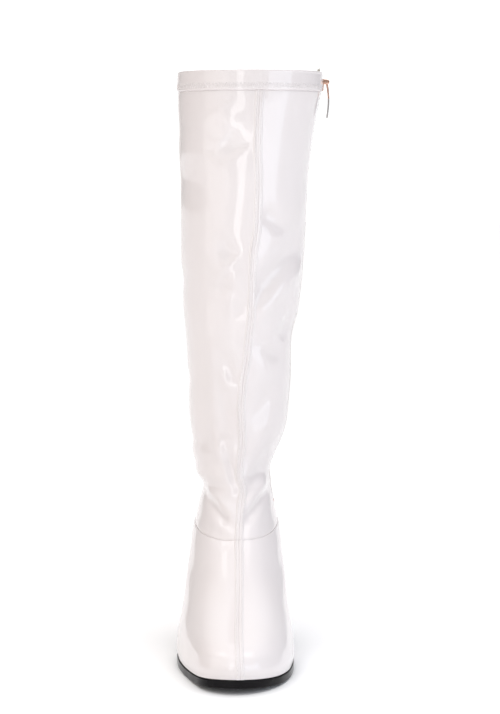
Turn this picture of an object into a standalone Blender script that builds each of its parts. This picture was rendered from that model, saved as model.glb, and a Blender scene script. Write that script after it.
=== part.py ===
"""A knee-high go go boot for the right foot: stretch upper, black outsole, block heel and inside zip.

Metres, +Z up. The toe points to -Y and the inner side of the leg, with the zip, is +X.
The origin is the bottom centre of the whole boot's box.
"""

import functools
import math

import bmesh
import bpy
import mathutils
import numpy as np

MM = 0.001

# Driving sizes
FOOT_LENGTH = 236 * MM
BALL_WIDTH = 89 * MM
SEAT_WIDTH = 61 * MM
TOE_SPRING = 5 * MM
HEEL_HEIGHT = 75 * MM
INSTEP_HEIGHT = 90.5 * MM
ANKLE_HEIGHT = 126 * MM
ANKLE_WIDTH = 54.6 * MM
ANKLE_DEPTH = 97.5 * MM
BOOT_HEIGHT = 450 * MM
COLLAR_WIDTH = 112.6 * MM
COLLAR_DEPTH = 122.5 * MM
COLLAR_LEAN = 11 * MM
FOREFOOT_SWING = 8 * MM
SWING_PIVOT = 0.375
OVAL_POWER = 0.94

# Walls, steps and clearances
WALL = 1.3 * MM
GAP = 0.3 * MM
TREAD_THICKNESS = 6 * MM
SEAT_THICKNESS = 3 * MM
SOLE_BEVEL = 0.8 * MM
FEATHER_INSET = 1.2 * MM
FEATHER_GAP = 0.5 * MM
INSOLE_THICKNESS = 2 * MM
INSOLE_SIDE_GAP = 0.9 * MM
HEM_DEPTH = 15 * MM
HEM_STEP = 0.9 * MM
SEAM_WIDTH = 6.4 * MM
SEAM_STEP = 0.5 * MM
VAMP_STEP = 0.5 * MM
STEP_RUN = 0.6 * MM

# Heel
HEEL_INSET = 1 * MM
HEEL_BREAST = 58 * MM
HEEL_FOOT_LENGTH = 48 * MM
HEEL_FOOT_WIDTH = 51 * MM
HEEL_BACK_RAKE = 4 * MM
HEEL_CORNER = 4 * MM
HEEL_CENTRE = 0.88
HEEL_ROUND_SHARE = 0.62
HEEL_ROUND_POWER = 2.6
HEEL_FLAT_STATIONS = (0.0, 0.03, 0.08, 0.2)
HEEL_BACK_START = 0.35
TOP_LIFT_THICKNESS = 5.5 * MM

# Zip
ZIP_END_HEIGHT = 108 * MM
SLOT_WIDTH = 7.2 * MM
TAPE_WIDTH = 11.5 * MM
TAPE_THICKNESS = 0.8 * MM
TAPE_ABOVE_RIM = 2.6 * MM
TAPE_BELOW_SLOT = 9 * MM
CHAIN_WIDTH = 5 * MM
CHAIN_THICKNESS = 1.7 * MM
CHAIN_EDGE = 0.4 * MM
SLIDER_LENGTH = 9.5 * MM
SLIDER_WIDTH = 6.6 * MM
SLIDER_PLATE = 1.2 * MM
SLIDER_BELOW_RIM = 5 * MM
PIN_DIAMETER = 1.5 * MM
PIN_CLEARANCE = 0.45 * MM
PIN_PLACE = 0.26
EYE_WALL = 0.9 * MM
LUG_THICKNESS = 1 * MM
LUG_REACH = 1.3
LUG_TOP = 0.8
PULL_LENGTH = 28 * MM
PULL_WIDTH = 6.4 * MM
PULL_NECK = 3.4 * MM
PULL_THICKNESS = 1.6 * MM
PULL_BOW = 1.2 * MM
STOP_LENGTH = 3.2 * MM
TOP_STOP_DROP = 0.4 * MM
BOTTOM_STOP_LENGTH = 3 * MM
BOTTOM_STOP_RISE = 0.6 * MM

# The pull tab's half width down its length: a share of half of PULL_NECK and one of half of
# PULL_WIDTH, added together. Along runs from the eye to the tip.
PULL_COLUMNS = ("along", "neck", "wide")
PULL = (
    (0.00, 1.0, 0.00),
    (0.16, 1.0, 0.00),
    (0.30, 0.0, 0.86),
    (0.55, 0.0, 1.00),
    (0.85, 0.0, 0.96),
    (0.95, 0.0, 0.70),
    (1.00, 0.0, 0.36),
)

# Facets
LOOP_SAMPLES = 240
FRONT_CELLS = 14
BACK_CELLS = 11
HEEL_STATIONS = 12
SOLE_STATIONS = 30
PIN_SIDES = 16
EYE_SIDES = 20

# Steps between rows of the tables, for directions and for edges
NORMAL_STEP = 0.02
ZIP_STEP = 0.05
VAMP_EDGE = 0.05
ROW_MARGIN = 0.3

# The outsole's edge. Along is a share of FOOT_LENGTH from the toe. Centre is a share of BALL_WIDTH,
# towards the inner side. The half width adds a share of half of BALL_WIDTH to one of SEAT_WIDTH.
OUTLINE_COLUMNS = ("along", "centre", "ball", "seat")
OUTLINE = (
    (0.000, 0.034, 0.000, 0.000),
    (0.008, 0.034, 0.190, 0.000),
    (0.025, 0.036, 0.370, 0.000),
    (0.065, 0.044, 0.570, 0.000),
    (0.125, 0.054, 0.728, 0.000),
    (0.180, 0.051, 0.826, 0.000),
    (0.255, 0.035, 0.924, 0.000),
    (0.335, 0.014, 0.985, 0.000),
    (0.400, -0.002, 1.000, 0.000),
    (0.465, -0.016, 0.948, 0.000),
    (0.550, -0.036, 0.785, 0.000),
    (0.655, -0.049, 0.000, 0.965),
    (0.760, -0.053, 0.000, 0.930),
    (0.860, -0.055, 0.000, 1.000),
    (0.935, -0.056, 0.000, 0.830),
    (0.980, -0.056, 0.000, 0.490),
    (1.000, -0.056, 0.000, 0.000),
)

# The outsole's underside and thickness. Rise is a share of TOE_SPRING ahead of the ball and of
# HEEL_HEIGHT behind it. Body is the share of the way from SEAT_THICKNESS to TREAD_THICKNESS.
PROFILE_COLUMNS = ("along", "toe_rise", "heel_rise", "body")
PROFILE = (
    (0.000, 1.00, 0.000, 1.0),
    (0.050, 0.66, 0.000, 1.0),
    (0.130, 0.26, 0.000, 1.0),
    (0.210, 0.05, 0.000, 1.0),
    (0.280, 0.00, 0.000, 1.0),
    (0.440, 0.00, 0.000, 1.0),
    (0.490, 0.00, 0.036, 0.9),
    (0.550, 0.00, 0.156, 0.6),
    (0.610, 0.00, 0.335, 0.3),
    (0.680, 0.00, 0.560, 0.1),
    (0.740, 0.00, 0.735, 0.0),
    (0.800, 0.00, 0.852, 0.0),
    (0.870, 0.00, 0.930, 0.0),
    (1.000, 0.00, 1.000, 0.0),
)

# Foot loops, from the feather line to the ankle. Front and back are the shares of FOOT_LENGTH by
# which the loop's ends lie behind the feather line's. Front_up is a share of the height from the
# feather line to the instep seam, and past 1 of that from the seam to the ankle. Back_up is a share
# of the height from the heel seat to the ankle. Arch is the share of the sole's arch that the loop
# still follows, oval the share of a plain oval against the sole's outline. Bulge is the half width
# past the feather line's, and seam the front seam's place, both as shares of BALL_WIDTH.
FOOT_COLUMNS = ("front", "front_up", "back", "back_up", "arch", "oval", "bulge", "seam")
FOOT = (
    (0.000, 0.000, 0.000, 0.000, 1.00, 0.00, 0.000, 0.058),
    (-0.005, 0.076, 0.007, 0.065, 0.94, 0.02, 0.010, 0.057),
    (0.011, 0.178, 0.011, 0.120, 0.85, 0.16, 0.004, 0.050),
    (0.051, 0.269, 0.013, 0.175, 0.73, 0.36, -0.014, 0.044),
    (0.122, 0.352, 0.014, 0.230, 0.58, 0.60, -0.036, 0.038),
    (0.213, 0.466, 0.014, 0.280, 0.42, 0.80, -0.058, 0.037),
    (0.309, 0.615, 0.013, 0.325, 0.28, 0.94, -0.082, 0.037),
    (0.397, 0.811, 0.012, 0.370, 0.16, 1.00, -0.098, 0.034),
    (0.469, 1.000, 0.010, 0.420, 0.06, 1.00, -0.116, 0.030),
    (0.521, 1.408, 0.006, 0.590, 0.00, 1.00, -0.142, 0.038),
    (0.553, 1.746, -0.001, 0.800, 0.00, 1.00, -0.166, 0.048),
)
VAMP_SEAM_ROW = 8

# Shaft loops, from the ankle to the collar. Up is a share of that height. Front, back and half are
# shares of the way from the ankle's size to the collar's, lean is a share of COLLAR_LEAN, and
# seam is the front seam's distance from the frontmost line as a share of COLLAR_WIDTH.
SHAFT_COLUMNS = ("up", "front", "back", "half", "lean", "seam")
SHAFT = (
    (0.000, 0.000, 0.00, 0.000, 0.00, 0.050),
    (0.036, -0.180, -0.14, 0.062, -0.26, 0.048),
    (0.075, -0.290, -0.24, 0.204, -0.21, 0.052),
    (0.106, -0.290, -0.22, 0.294, -0.03, 0.046),
    (0.150, -0.230, -0.12, 0.383, 0.12, 0.030),
    (0.200, -0.160, 0.02, 0.426, 0.16, 0.020),
    (0.260, -0.060, 0.18, 0.462, 0.20, 0.030),
    (0.345, 0.110, 0.48, 0.500, 0.14, 0.070),
    (0.420, 0.270, 0.72, 0.610, 0.28, 0.078),
    (0.495, 0.450, 0.92, 0.680, 0.40, 0.076),
    (0.568, 0.590, 1.04, 0.735, 0.42, 0.082),
    (0.645, 0.710, 1.12, 0.765, 0.47, 0.106),
    (0.740, 0.850, 1.12, 0.785, 0.55, 0.104),
    (0.812, 0.920, 1.12, 0.850, 0.60, 0.092),
    (0.861, 0.950, 1.10, 0.890, 0.70, 0.086),
    (0.908, 0.970, 1.08, 0.950, 0.80, 0.080),
    (0.957, 0.990, 1.04, 0.993, 0.94, 0.076),
    (1.000, 1.000, 1.00, 1.000, 1.00, 0.074),
)
SHAFT_FRONT = 135 * MM
SHAFT_BACK_REACH = 8 * MM

# Zip line: how far behind the toe it lies at the foot, the ankle and the collar
ZIP_LINE_COLUMNS = ("row", "along")
ZIP_LINE = (
    (0.0, 0.800),
    (11.0, 0.785),
    (18.0, 0.775),
    (28.0, 0.765),
)

# Rows of the upper's facets between the table's rows
UPPER_ROWS = (0, 0.4, 0.8, 1.2, 1.6, 2, 2.5, 3, 3.5, 4, 5, 6, 7, 8, 9, 10, 11, 12, 13, 14, 15, 16,
              17, 18, 19, 20, 21, 22, 23, 24, 25, 26)

COLOURS = {
    "patent": ((0.80, 0.76, 0.75), 0.08, 0.0),
    "outsole": ((0.012, 0.012, 0.013), 0.12, 0.0),
    "rubber": ((0.015, 0.015, 0.016), 0.45, 0.0),
    "lining": ((0.78, 0.74, 0.68), 0.7, 0.0),
    "tape": ((0.80, 0.76, 0.68), 0.8, 0.0),
    "chain": ((0.82, 0.80, 0.76), 0.45, 0.0),
    "metal": ((0.72, 0.47, 0.36), 0.22, 1.0),
}


def column(table, names, name):
    return np.array([row[names.index(name)] for row in table], float)


class Curve:
    """A smooth curve through points, which keeps rising stretches rising and flat ones flat."""

    def __init__(self, xs, ys):
        self.xs, self.ys = np.asarray(xs, float), np.asarray(ys, float)
        self.step = np.diff(self.xs)
        slope = np.diff(self.ys) / self.step
        self.tangent = np.zeros(len(self.xs))
        self.tangent[0], self.tangent[-1] = slope[0], slope[-1]
        for i in range(1, len(self.xs) - 1):
            before, after = slope[i - 1], slope[i]
            if before * after > 0:
                wide = 2 * self.step[i] + self.step[i - 1]
                narrow = self.step[i] + 2 * self.step[i - 1]
                self.tangent[i] = (wide + narrow) / (wide / before + narrow / after)

    def __call__(self, at):
        at = np.clip(np.asarray(at, float), self.xs[0], self.xs[-1])
        i = np.clip(np.searchsorted(self.xs, at, side="right") - 1, 0, len(self.step) - 1)
        step, t = self.step[i], (at - self.xs[i]) / self.step[i]
        return (
            self.ys[i] * (1 + 2 * t) * (1 - t) ** 2
            + self.tangent[i] * step * t * (1 - t) ** 2
            + self.ys[i + 1] * t * t * (3 - 2 * t)
            - self.tangent[i + 1] * step * t * t * (1 - t)
        )


def turn(share):
    """The angle, 0 at the toe and pi at the heel, of a share of a loop's length."""
    return np.arccos(np.clip(1 - 2 * np.asarray(share, float), -1, 1))


OUTLINE_TURN = turn(column(OUTLINE, OUTLINE_COLUMNS, "along"))
OUTLINE_CENTRE = Curve(OUTLINE_TURN, BALL_WIDTH * column(OUTLINE, OUTLINE_COLUMNS, "centre"))
OUTLINE_HALF = Curve(
    OUTLINE_TURN,
    BALL_WIDTH / 2 * column(OUTLINE, OUTLINE_COLUMNS, "ball")
    + SEAT_WIDTH / 2 * column(OUTLINE, OUTLINE_COLUMNS, "seat"),
)
PROFILE_ALONG = column(PROFILE, PROFILE_COLUMNS, "along")
UNDERSIDE = Curve(
    PROFILE_ALONG,
    TOE_SPRING * column(PROFILE, PROFILE_COLUMNS, "toe_rise")
    + HEEL_HEIGHT * column(PROFILE, PROFILE_COLUMNS, "heel_rise"),
)
THICKNESS = Curve(
    PROFILE_ALONG,
    SEAT_THICKNESS + (TREAD_THICKNESS - SEAT_THICKNESS) * column(PROFILE, PROFILE_COLUMNS, "body"),
)


def sole_edge(angle, side):
    """The outsole's edge across the foot: side is 1 for the inner side, -1 for the outer."""
    return OUTLINE_CENTRE(angle) + side * OUTLINE_HALF(angle)


def underside(along):
    """Height of the outsole's underside at a share of the foot's length."""
    return UNDERSIDE(along)


def sole_top(along):
    return UNDERSIDE(along) + THICKNESS(along)


def centre_line(y):
    """The foot's centre swings from the toe, on the inner side, to the heel."""
    return FOREFOOT_SWING * (SWING_PIVOT - y / FOOT_LENGTH)


def foot_rows():
    """The foot table as real lengths, with the feather line just above the sole."""
    rows = {name: column(FOOT, FOOT_COLUMNS, name) for name in FOOT_COLUMNS}
    toe, heel = sole_top(0.0) + FEATHER_GAP, sole_top(1.0) + FEATHER_GAP
    return {
        "front_y": FEATHER_INSET + FOOT_LENGTH * rows["front"],
        "front_z": toe
        + np.minimum(rows["front_up"], 1) * (INSTEP_HEIGHT - toe)
        + np.maximum(rows["front_up"] - 1, 0) * (ANKLE_HEIGHT - INSTEP_HEIGHT),
        "back_y": FOOT_LENGTH * (1 + rows["back"]) - FEATHER_INSET,
        "back_z": heel + rows["back_up"] * (ANKLE_HEIGHT - heel),
        "arch": rows["arch"],
        "oval": rows["oval"],
        "half": BALL_WIDTH * (0.5 + rows["bulge"]) - FEATHER_INSET,
        "lean": np.zeros(len(FOOT)),
        "seam": BALL_WIDTH * rows["seam"],
    }


def shaft_rows():
    rows = {name: column(SHAFT, SHAFT_COLUMNS, name) for name in SHAFT_COLUMNS}
    height = ANKLE_HEIGHT + rows["up"] * (BOOT_HEIGHT - ANKLE_HEIGHT)
    reach = COLLAR_DEPTH - ANKLE_DEPTH - SHAFT_BACK_REACH
    return {
        "front_y": SHAFT_FRONT - rows["front"] * reach,
        "front_z": height,
        "back_y": SHAFT_FRONT + ANKLE_DEPTH + rows["back"] * SHAFT_BACK_REACH,
        "back_z": height,
        "arch": np.zeros(len(SHAFT)),
        "oval": np.ones(len(SHAFT)),
        "half": 0.5 * (ANKLE_WIDTH + rows["half"] * (COLLAR_WIDTH - ANKLE_WIDTH)),
        "lean": rows["lean"] * COLLAR_LEAN,
        "seam": COLLAR_WIDTH * rows["seam"],
    }


FOOT_ROWS = foot_rows()
SHAFT_ROWS = shaft_rows()
ROWS = {name: np.concatenate([FOOT_ROWS[name], SHAFT_ROWS[name]]) for name in FOOT_ROWS}
ROW_CURVES = {name: Curve(np.arange(len(values)), values) for name, values in ROWS.items()}
ZIP_CURVE = Curve(column(ZIP_LINE, ZIP_LINE_COLUMNS, "row"), column(ZIP_LINE, ZIP_LINE_COLUMNS, "along"))
TOP_ROW = len(FOOT) + len(SHAFT) - 1.0


def row_value(name, row):
    return float(ROW_CURVES[name](row))


def loop_points(row):
    """One closed loop of the upper's outer face, from the front round the inner side and back."""
    angle = np.linspace(0, 2 * math.pi, LOOP_SAMPLES, endpoint=False)
    side = np.where(angle <= math.pi, 1.0, -1.0)
    turned = np.where(angle <= math.pi, angle, 2 * math.pi - angle)
    share = (1 - np.cos(turned)) / 2
    front_y, back_y = row_value("front_y", row), row_value("back_y", row)
    y = front_y + share * (back_y - front_y)
    chord = row_value("front_z", row) + share * (row_value("back_z", row) - row_value("front_z", row))
    sole = sole_top(y / FOOT_LENGTH)
    front_sole, back_sole = sole_top(front_y / FOOT_LENGTH), sole_top(back_y / FOOT_LENGTH)
    z = chord + row_value("arch", row) * (sole - front_sole - share * (back_sole - front_sole))
    half = row_value("half", row)
    outline = sole_edge(turned, side) * half / (BALL_WIDTH / 2)
    oval = centre_line(y) + side * half * np.sin(turned) ** OVAL_POWER
    lean = row_value("lean", row)
    mix = row_value("oval", row)
    return np.stack([outline * (1 - mix) + oval * mix + lean, y, z], axis=1)


def loop_normals(row):
    low, high = max(row - NORMAL_STEP, 0), min(row + NORMAL_STEP, TOP_ROW)
    up = loop_points(high) - loop_points(low)
    points = loop_points(row)
    round_loop = np.roll(points, -1, axis=0) - np.roll(points, 1, axis=0)
    out = np.cross(round_loop, up)
    if row <= 0 or row >= TOP_ROW:
        out[:, 2] = 0
    return out / np.linalg.norm(out, axis=1, keepdims=True)


def lowest_zip_row():
    """The row at which the zip line reaches the height where the zip ends."""
    rows = np.linspace(VAMP_SEAM_ROW, len(FOOT) + 1, 60)
    heights = [Loop(row).zip_height for row in rows]
    return float(np.interp(ZIP_END_HEIGHT, heights, rows))


class Loop:
    """A loop of the upper with lengths measured along it from the front seam."""

    def __init__(self, row):
        points, normals = loop_points(row), loop_normals(row)
        closed = np.concatenate([points, points[:1]])
        lengths = np.linalg.norm(np.diff(closed, axis=0), axis=1)
        self.arc = np.concatenate([[0], np.cumsum(lengths)])
        self.points = closed
        self.normals = np.concatenate([normals, normals[:1]])
        self.round = self.arc[-1]
        half = LOOP_SAMPLES // 2
        self.seam = row_value("seam", row)
        self.back = self.arc[half]
        along = FOOT_LENGTH * float(ZIP_CURVE(row))
        self.zip = float(np.interp(along, points[: half + 1, 1], self.arc[: half + 1]))
        self.zip_height = float(np.interp(self.zip, self.arc, closed[:, 2]))
        lateral_y = points[half:, 1][::-1]
        self.mirror_zip = float(np.interp(along, lateral_y, self.arc[half:LOOP_SAMPLES][::-1]))

    def at(self, arc, out=0.0):
        """A point at a length along the loop, moved outwards by out."""
        arc = arc % self.round
        point = np.array([np.interp(arc, self.arc, self.points[:, i]) for i in range(3)])
        normal = np.array([np.interp(arc, self.arc, self.normals[:, i]) for i in range(3)])
        return point + out * normal / np.linalg.norm(normal)


ZIP_END_ROW = lowest_zip_row()


def new_object(name, mesh, material):
    obj = bpy.data.objects.new(name, mesh)
    bpy.context.scene.collection.objects.link(obj)
    mesh.materials.append(material)
    return obj


def new_material(name):
    colour, roughness, metallic = COLOURS[name]
    material = bpy.data.materials.new(name)
    material.use_nodes = True
    shader = material.node_tree.nodes["Principled BSDF"]
    shader.inputs["Base Color"].default_value = (*colour, 1.0)
    shader.inputs["Roughness"].default_value = roughness
    shader.inputs["Metallic"].default_value = metallic
    return material


def mesh_from(name, points, faces):
    mesh = bpy.data.meshes.new(name)
    mesh.from_pydata([tuple(p) for p in points], [], faces)
    work = bmesh.new()
    work.from_mesh(mesh)
    loose = [vertex for vertex in work.verts if not vertex.link_faces]
    bmesh.ops.delete(work, geom=loose, context="VERTS")
    bmesh.ops.recalc_face_normals(work, faces=work.faces)
    if work.calc_volume(signed=True) < 0:
        bmesh.ops.reverse_faces(work, faces=work.faces)
    work.to_mesh(mesh)
    work.free()
    mesh.shade_smooth()
    mesh.set_sharp_from_angle(angle=math.radians(40))
    return mesh


def walled_grid(name, outer, inner, closed, open_cells=()):
    """A solid wall between two grids of rows and columns, less the cells that stay open."""
    rows, columns = outer.shape[:2]
    points = np.concatenate([outer.reshape(-1, 3), inner.reshape(-1, 3)])
    shift = rows * columns
    across = columns if closed else columns - 1
    gone = set(open_cells)
    kept = {(r, c) for r in range(rows - 1) for c in range(across) if (r, c) not in gone}

    def corner(r, c):
        return r * columns + c % columns

    faces = []
    for r, c in sorted(kept):
        a, b = corner(r, c), corner(r, c + 1)
        d, e = corner(r + 1, c), corner(r + 1, c + 1)
        faces.append((a, b, e, d))
        faces.append((a + shift, d + shift, e + shift, b + shift))
        beside = ((r - 1, c, a, b), (r + 1, c, e, d), (r, c - 1, d, a), (r, c + 1, b, e))
        for near_r, near_c, start, end in beside:
            cell = (near_r, near_c % columns) if closed else (near_r, near_c)
            if cell not in kept:
                faces.append((start, start + shift, end + shift, end))
    return mesh_from(name, points, faces)


def stacked_loops(name, loops, pairs):
    """A solid of stacked closed loops, whose ends are closed by strips between paired points."""
    count = len(loops[0])
    points = np.concatenate(loops)
    faces = []
    for level in range(len(loops) - 1):
        low, high = level * count, (level + 1) * count
        for i in range(count):
            j = (i + 1) % count
            faces.append((low + i, low + j, high + j, high + i))
    for base in (0, (len(loops) - 1) * count):
        for (a, b), (c, d) in zip(pairs, pairs[1:]):
            corners = list(dict.fromkeys((base + a, base + b, base + d, base + c)))
            faces.append(tuple(corners))
    return mesh_from(name, points, faces)


def seam_arcs(loop):
    """Lengths along the loop of the upper's columns, from the seam round the inner side."""
    band, run = SEAM_WIDTH / 2, STEP_RUN
    slot = SLOT_WIDTH / 2
    front = np.linspace(0, 1, FRONT_CELLS + 1) ** 1.2
    back = np.linspace(0, 1, BACK_CELLS + 1)
    start = loop.seam + band + run
    arcs = [loop.seam, loop.seam + band]
    arcs += list(start + front * (loop.zip - slot - start))
    arcs += list(loop.zip + slot + back * (loop.back - loop.zip - slot))
    end = loop.round + loop.seam - band - run
    arcs += list(loop.back + back[1:] * (loop.mirror_zip - loop.back))
    arcs += list(end - front[::-1][1:] * (end - loop.mirror_zip))
    arcs.append(loop.round + loop.seam - band)
    return arcs


def upper_rows():
    rise = row_of_height(BOOT_HEIGHT - HEM_DEPTH)
    below = row_of_height(BOOT_HEIGHT - HEM_DEPTH - STEP_RUN)
    vamp_top = VAMP_SEAM_ROW + VAMP_EDGE
    last = [below, rise, 0.5 * (rise + TOP_ROW), TOP_ROW]
    middle = [row for row in UPPER_ROWS if row < below - ROW_MARGIN]
    return sorted(middle + [vamp_top, ZIP_END_ROW] + last)


@functools.lru_cache(None)
def row_of_height(height):
    """The row whose front lies at a height on the shaft."""
    rows = np.linspace(len(FOOT), TOP_ROW, 400)
    return float(np.interp(height, [row_value("front_z", row) for row in rows], rows))


def step_out(row, column_number, columns):
    """How far the outer face stands proud: hem, raised front seam and vamp edge."""
    seam = column_number in (0, 1, columns - 1)
    if row >= row_of_height(BOOT_HEIGHT - HEM_DEPTH) - 1e-6:
        return HEM_STEP
    vamp = VAMP_STEP if row <= VAMP_SEAM_ROW else 0.0
    return vamp + (SEAM_STEP if seam else 0.0)


def make_upper(material):
    rows = upper_rows()
    outer, inner = [], []
    for row in rows:
        loop = Loop(row)
        arcs = seam_arcs(loop)
        outer.append([loop.at(arc, step_out(row, i, len(arcs))) for i, arc in enumerate(arcs)])
        inner.append([loop.at(arc, -WALL) for arc in arcs])
    slot_column = 2 + FRONT_CELLS
    slot = [(r, slot_column) for r, row in enumerate(rows) if ZIP_END_ROW - 1e-6 <= row < TOP_ROW]
    mesh = walled_grid("upper", np.array(outer), np.array(inner), True, slot)
    return new_object("upper", mesh, material)


def station_angles(count):
    return np.linspace(0, math.pi, count)


def outline_loop(inset, angles):
    """The sole's edge in plan, moved inwards: medial side from toe to heel, then the lateral side."""
    share = (1 - np.cos(angles)) / 2
    medial = np.stack([sole_edge(angles, 1), FOOT_LENGTH * share], axis=1)
    lateral = np.stack([sole_edge(angles, -1), FOOT_LENGTH * share], axis=1)
    edge = np.concatenate([medial, lateral[-2:0:-1]])
    along = np.roll(edge, -1, axis=0) - np.roll(edge, 1, axis=0)
    out = np.stack([along[:, 1], -along[:, 0]], axis=1)
    out /= np.linalg.norm(out, axis=1, keepdims=True)
    return edge - inset * out


def outline_pairs(count):
    """Points across from each other on an outline loop, from the toe to the heel."""
    total = 2 * count - 2
    return [(i, (total - i) % total) for i in range(count)]


def raised(edge, height):
    return np.column_stack([edge, height(edge[:, 1] / FOOT_LENGTH)])


def make_outsole(material):
    angles = station_angles(SOLE_STATIONS)
    rim, flank = outline_loop(SOLE_BEVEL, angles), outline_loop(0.0, angles)
    loops = [
        raised(rim, underside),
        raised(flank, lambda a: underside(a) + SOLE_BEVEL),
        raised(flank, lambda a: sole_top(a) - SOLE_BEVEL),
        raised(rim, sole_top),
    ]
    return new_object("outsole", stacked_loops("outsole", loops, outline_pairs(SOLE_STATIONS)), material)


def make_insole(material):
    angles = station_angles(SOLE_STATIONS)
    edge = outline_loop(FEATHER_INSET + WALL + INSOLE_SIDE_GAP, angles)
    loops = [
        raised(edge, lambda a: sole_top(a) + GAP),
        raised(edge, lambda a: sole_top(a) + GAP + INSOLE_THICKNESS),
    ]
    return new_object("insole", stacked_loops("insole", loops, outline_pairs(SOLE_STATIONS)), material)


def heel_section(level):
    """The heel's outline in plan at a level, 0 at its foot and 1 at the seat, breast corners first."""
    back = FOOT_LENGTH - HEEL_INSET - HEEL_BACK_RAKE * (1 - level)
    length = HEEL_FOOT_LENGTH + (HEEL_BREAST - HEEL_INSET - HEEL_FOOT_LENGTH) * level
    width = HEEL_FOOT_WIDTH + (SEAT_WIDTH - 2 * HEEL_INSET - HEEL_FOOT_WIDTH) * level
    behind = np.sin(np.linspace(0, math.pi / 2, HEEL_STATIONS))[1:]
    stations = np.concatenate([HEEL_FLAT_STATIONS, HEEL_BACK_START + (1 - HEEL_BACK_START) * behind])
    y = back - length + length * stations
    rounded = HEEL_ROUND_SHARE * length
    full = 1 - np.clip((y - back + rounded) / rounded, 0, 1) ** HEEL_ROUND_POWER
    half = width / 2 * np.sqrt(full)
    corner = np.clip(HEEL_CORNER - (y - back + length), 0, HEEL_CORNER)
    half = half - HEEL_CORNER + np.sqrt(HEEL_CORNER**2 - corner**2)
    half[-1] = 0
    centre = centre_line(HEEL_CENTRE * FOOT_LENGTH)
    medial = np.column_stack([centre + half, y])
    lateral = np.column_stack([centre - half, y])
    return np.concatenate([medial, lateral[-2::-1]])


def heel_pairs(count):
    return [(i, count - 1 - i) for i in range(count // 2 + 1)]


def make_heel(material):
    foot = TOP_LIFT_THICKNESS + GAP
    loops = []
    for level in np.linspace(0, 1, 5):
        edge = heel_section(level)
        top = underside(edge[:, 1] / FOOT_LENGTH) - GAP
        loops.append(np.column_stack([edge, foot + (top - foot) * level]))
    return new_object("heel", stacked_loops("heel", loops, heel_pairs(len(loops[0]))), material)


def make_top_lift(material):
    edge = heel_section(0.0)
    flat = [np.column_stack([edge, np.full(len(edge), z)]) for z in (0.0, TOP_LIFT_THICKNESS)]
    return new_object("heel_top_lift", stacked_loops("heel_top_lift", flat, heel_pairs(len(edge))), material)


class ZipPoint:
    """The zip line at one row, with directions up the zip, across it and out of the boot."""

    def __init__(self, row):
        self.loop = Loop(row)
        self.point = self.loop.at(self.loop.zip)
        out = self.loop.at(self.loop.zip, 1.0) - self.point
        ahead, behind = Loop(min(row + ZIP_STEP, TOP_ROW)), Loop(max(row - ZIP_STEP, 0))
        up = ahead.at(ahead.zip) - behind.at(behind.zip)
        self.up = up / np.linalg.norm(up)
        out -= self.up * out.dot(self.up)
        self.out = out / np.linalg.norm(out)
        self.across = np.cross(self.up, self.out)

    def place(self, across, out, up=0.0):
        return self.point + across * self.across + out * self.out + up * self.up


def zip_rows(bottom):
    inside = [row for row in upper_rows() if bottom < row < TOP_ROW]
    return [bottom] + inside + [TOP_ROW]


def make_tape(name, side, material):
    """One tape inside the wall, from below the slot to a little above the rim."""
    foot_row = row_above_zip_end(-TAPE_BELOW_SLOT)
    face, back = -WALL - GAP, -WALL - GAP - TAPE_THICKNESS
    arcs = side * np.array([GAP, TAPE_WIDTH / 2, TAPE_WIDTH])
    outer, inner = [], []
    for row in zip_rows(foot_row):
        loop = Loop(row)
        outer.append([loop.at(loop.zip + arc, face) for arc in arcs])
        inner.append([loop.at(loop.zip + arc, back) for arc in arcs])
    above = np.array([0, 0, TAPE_ABOVE_RIM])
    outer.append([point + above for point in outer[-1]])
    inner.append([point + above for point in inner[-1]])
    return new_object(name, walled_grid(name, np.array(outer), np.array(inner), False), material)


def ribbon(name, rows, outline, material):
    """A bar along the zip line whose section is an outline of (across, out) pairs."""
    loops = []
    for row in rows:
        at = ZipPoint(row)
        loops.append(np.array([at.place(across, out) for across, out in outline]))
    half = len(outline) // 2
    pairs = [(i, len(outline) - 1 - i) for i in range(half)]
    return new_object(name, stacked_loops(name, loops, pairs), material)


@functools.lru_cache(None)
def row_above_zip_end(length):
    """The row that lies a length up the zip line from the slot's end, or down it if negative."""
    rows = np.linspace(ZIP_END_ROW - 1, ZIP_END_ROW + 1, 41)
    loops = [Loop(row) for row in rows]
    line = np.array([loop.at(loop.zip) for loop in loops])
    along = np.concatenate([[0], np.cumsum(np.linalg.norm(np.diff(line, axis=0), axis=1))])
    return float(np.interp(length + along[len(rows) // 2], along, rows))


def make_chain(material):
    half, low = CHAIN_WIDTH / 2, -WALL
    high = low + CHAIN_THICKNESS
    outline = [
        (-half, low), (-half, high - CHAIN_EDGE), (-half + CHAIN_EDGE, high),
        (half - CHAIN_EDGE, high), (half, high - CHAIN_EDGE), (half, low),
    ]
    top = row_of_height(BOOT_HEIGHT - SLIDER_BELOW_RIM + GAP)
    start = row_above_zip_end(BOTTOM_STOP_RISE + BOTTOM_STOP_LENGTH + GAP)
    inside = [row for row in upper_rows() if start + ROW_MARGIN / 3 < row < top - ROW_MARGIN / 3]
    rows = [start] + inside + [top]
    return ribbon("zip_chain", rows, outline, material)


def box_at(at, name, across, out, up):
    """A block in the zip's directions, given by its two limits each way."""
    corners = [at.place(a, o, u) for u in up for a, o in
               ((across[0], out[0]), (across[1], out[0]), (across[1], out[1]), (across[0], out[1]))]
    faces = [(0, 1, 2, 3), (4, 5, 6, 7), (0, 1, 5, 4), (1, 2, 6, 5), (2, 3, 7, 6), (3, 0, 4, 7)]
    return mesh_from(name, corners, faces)


def join_solid(target, mesh, name):
    """Adds a mesh to an object by a Boolean union with a hidden helper."""
    helper = bpy.data.objects.new(name, mesh)
    bpy.context.scene.collection.objects.link(helper)
    helper.hide_render = True
    helper.display_type = "WIRE"
    union = target.modifiers.new(name, "BOOLEAN")
    union.operation = "UNION"
    union.object = helper


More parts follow.
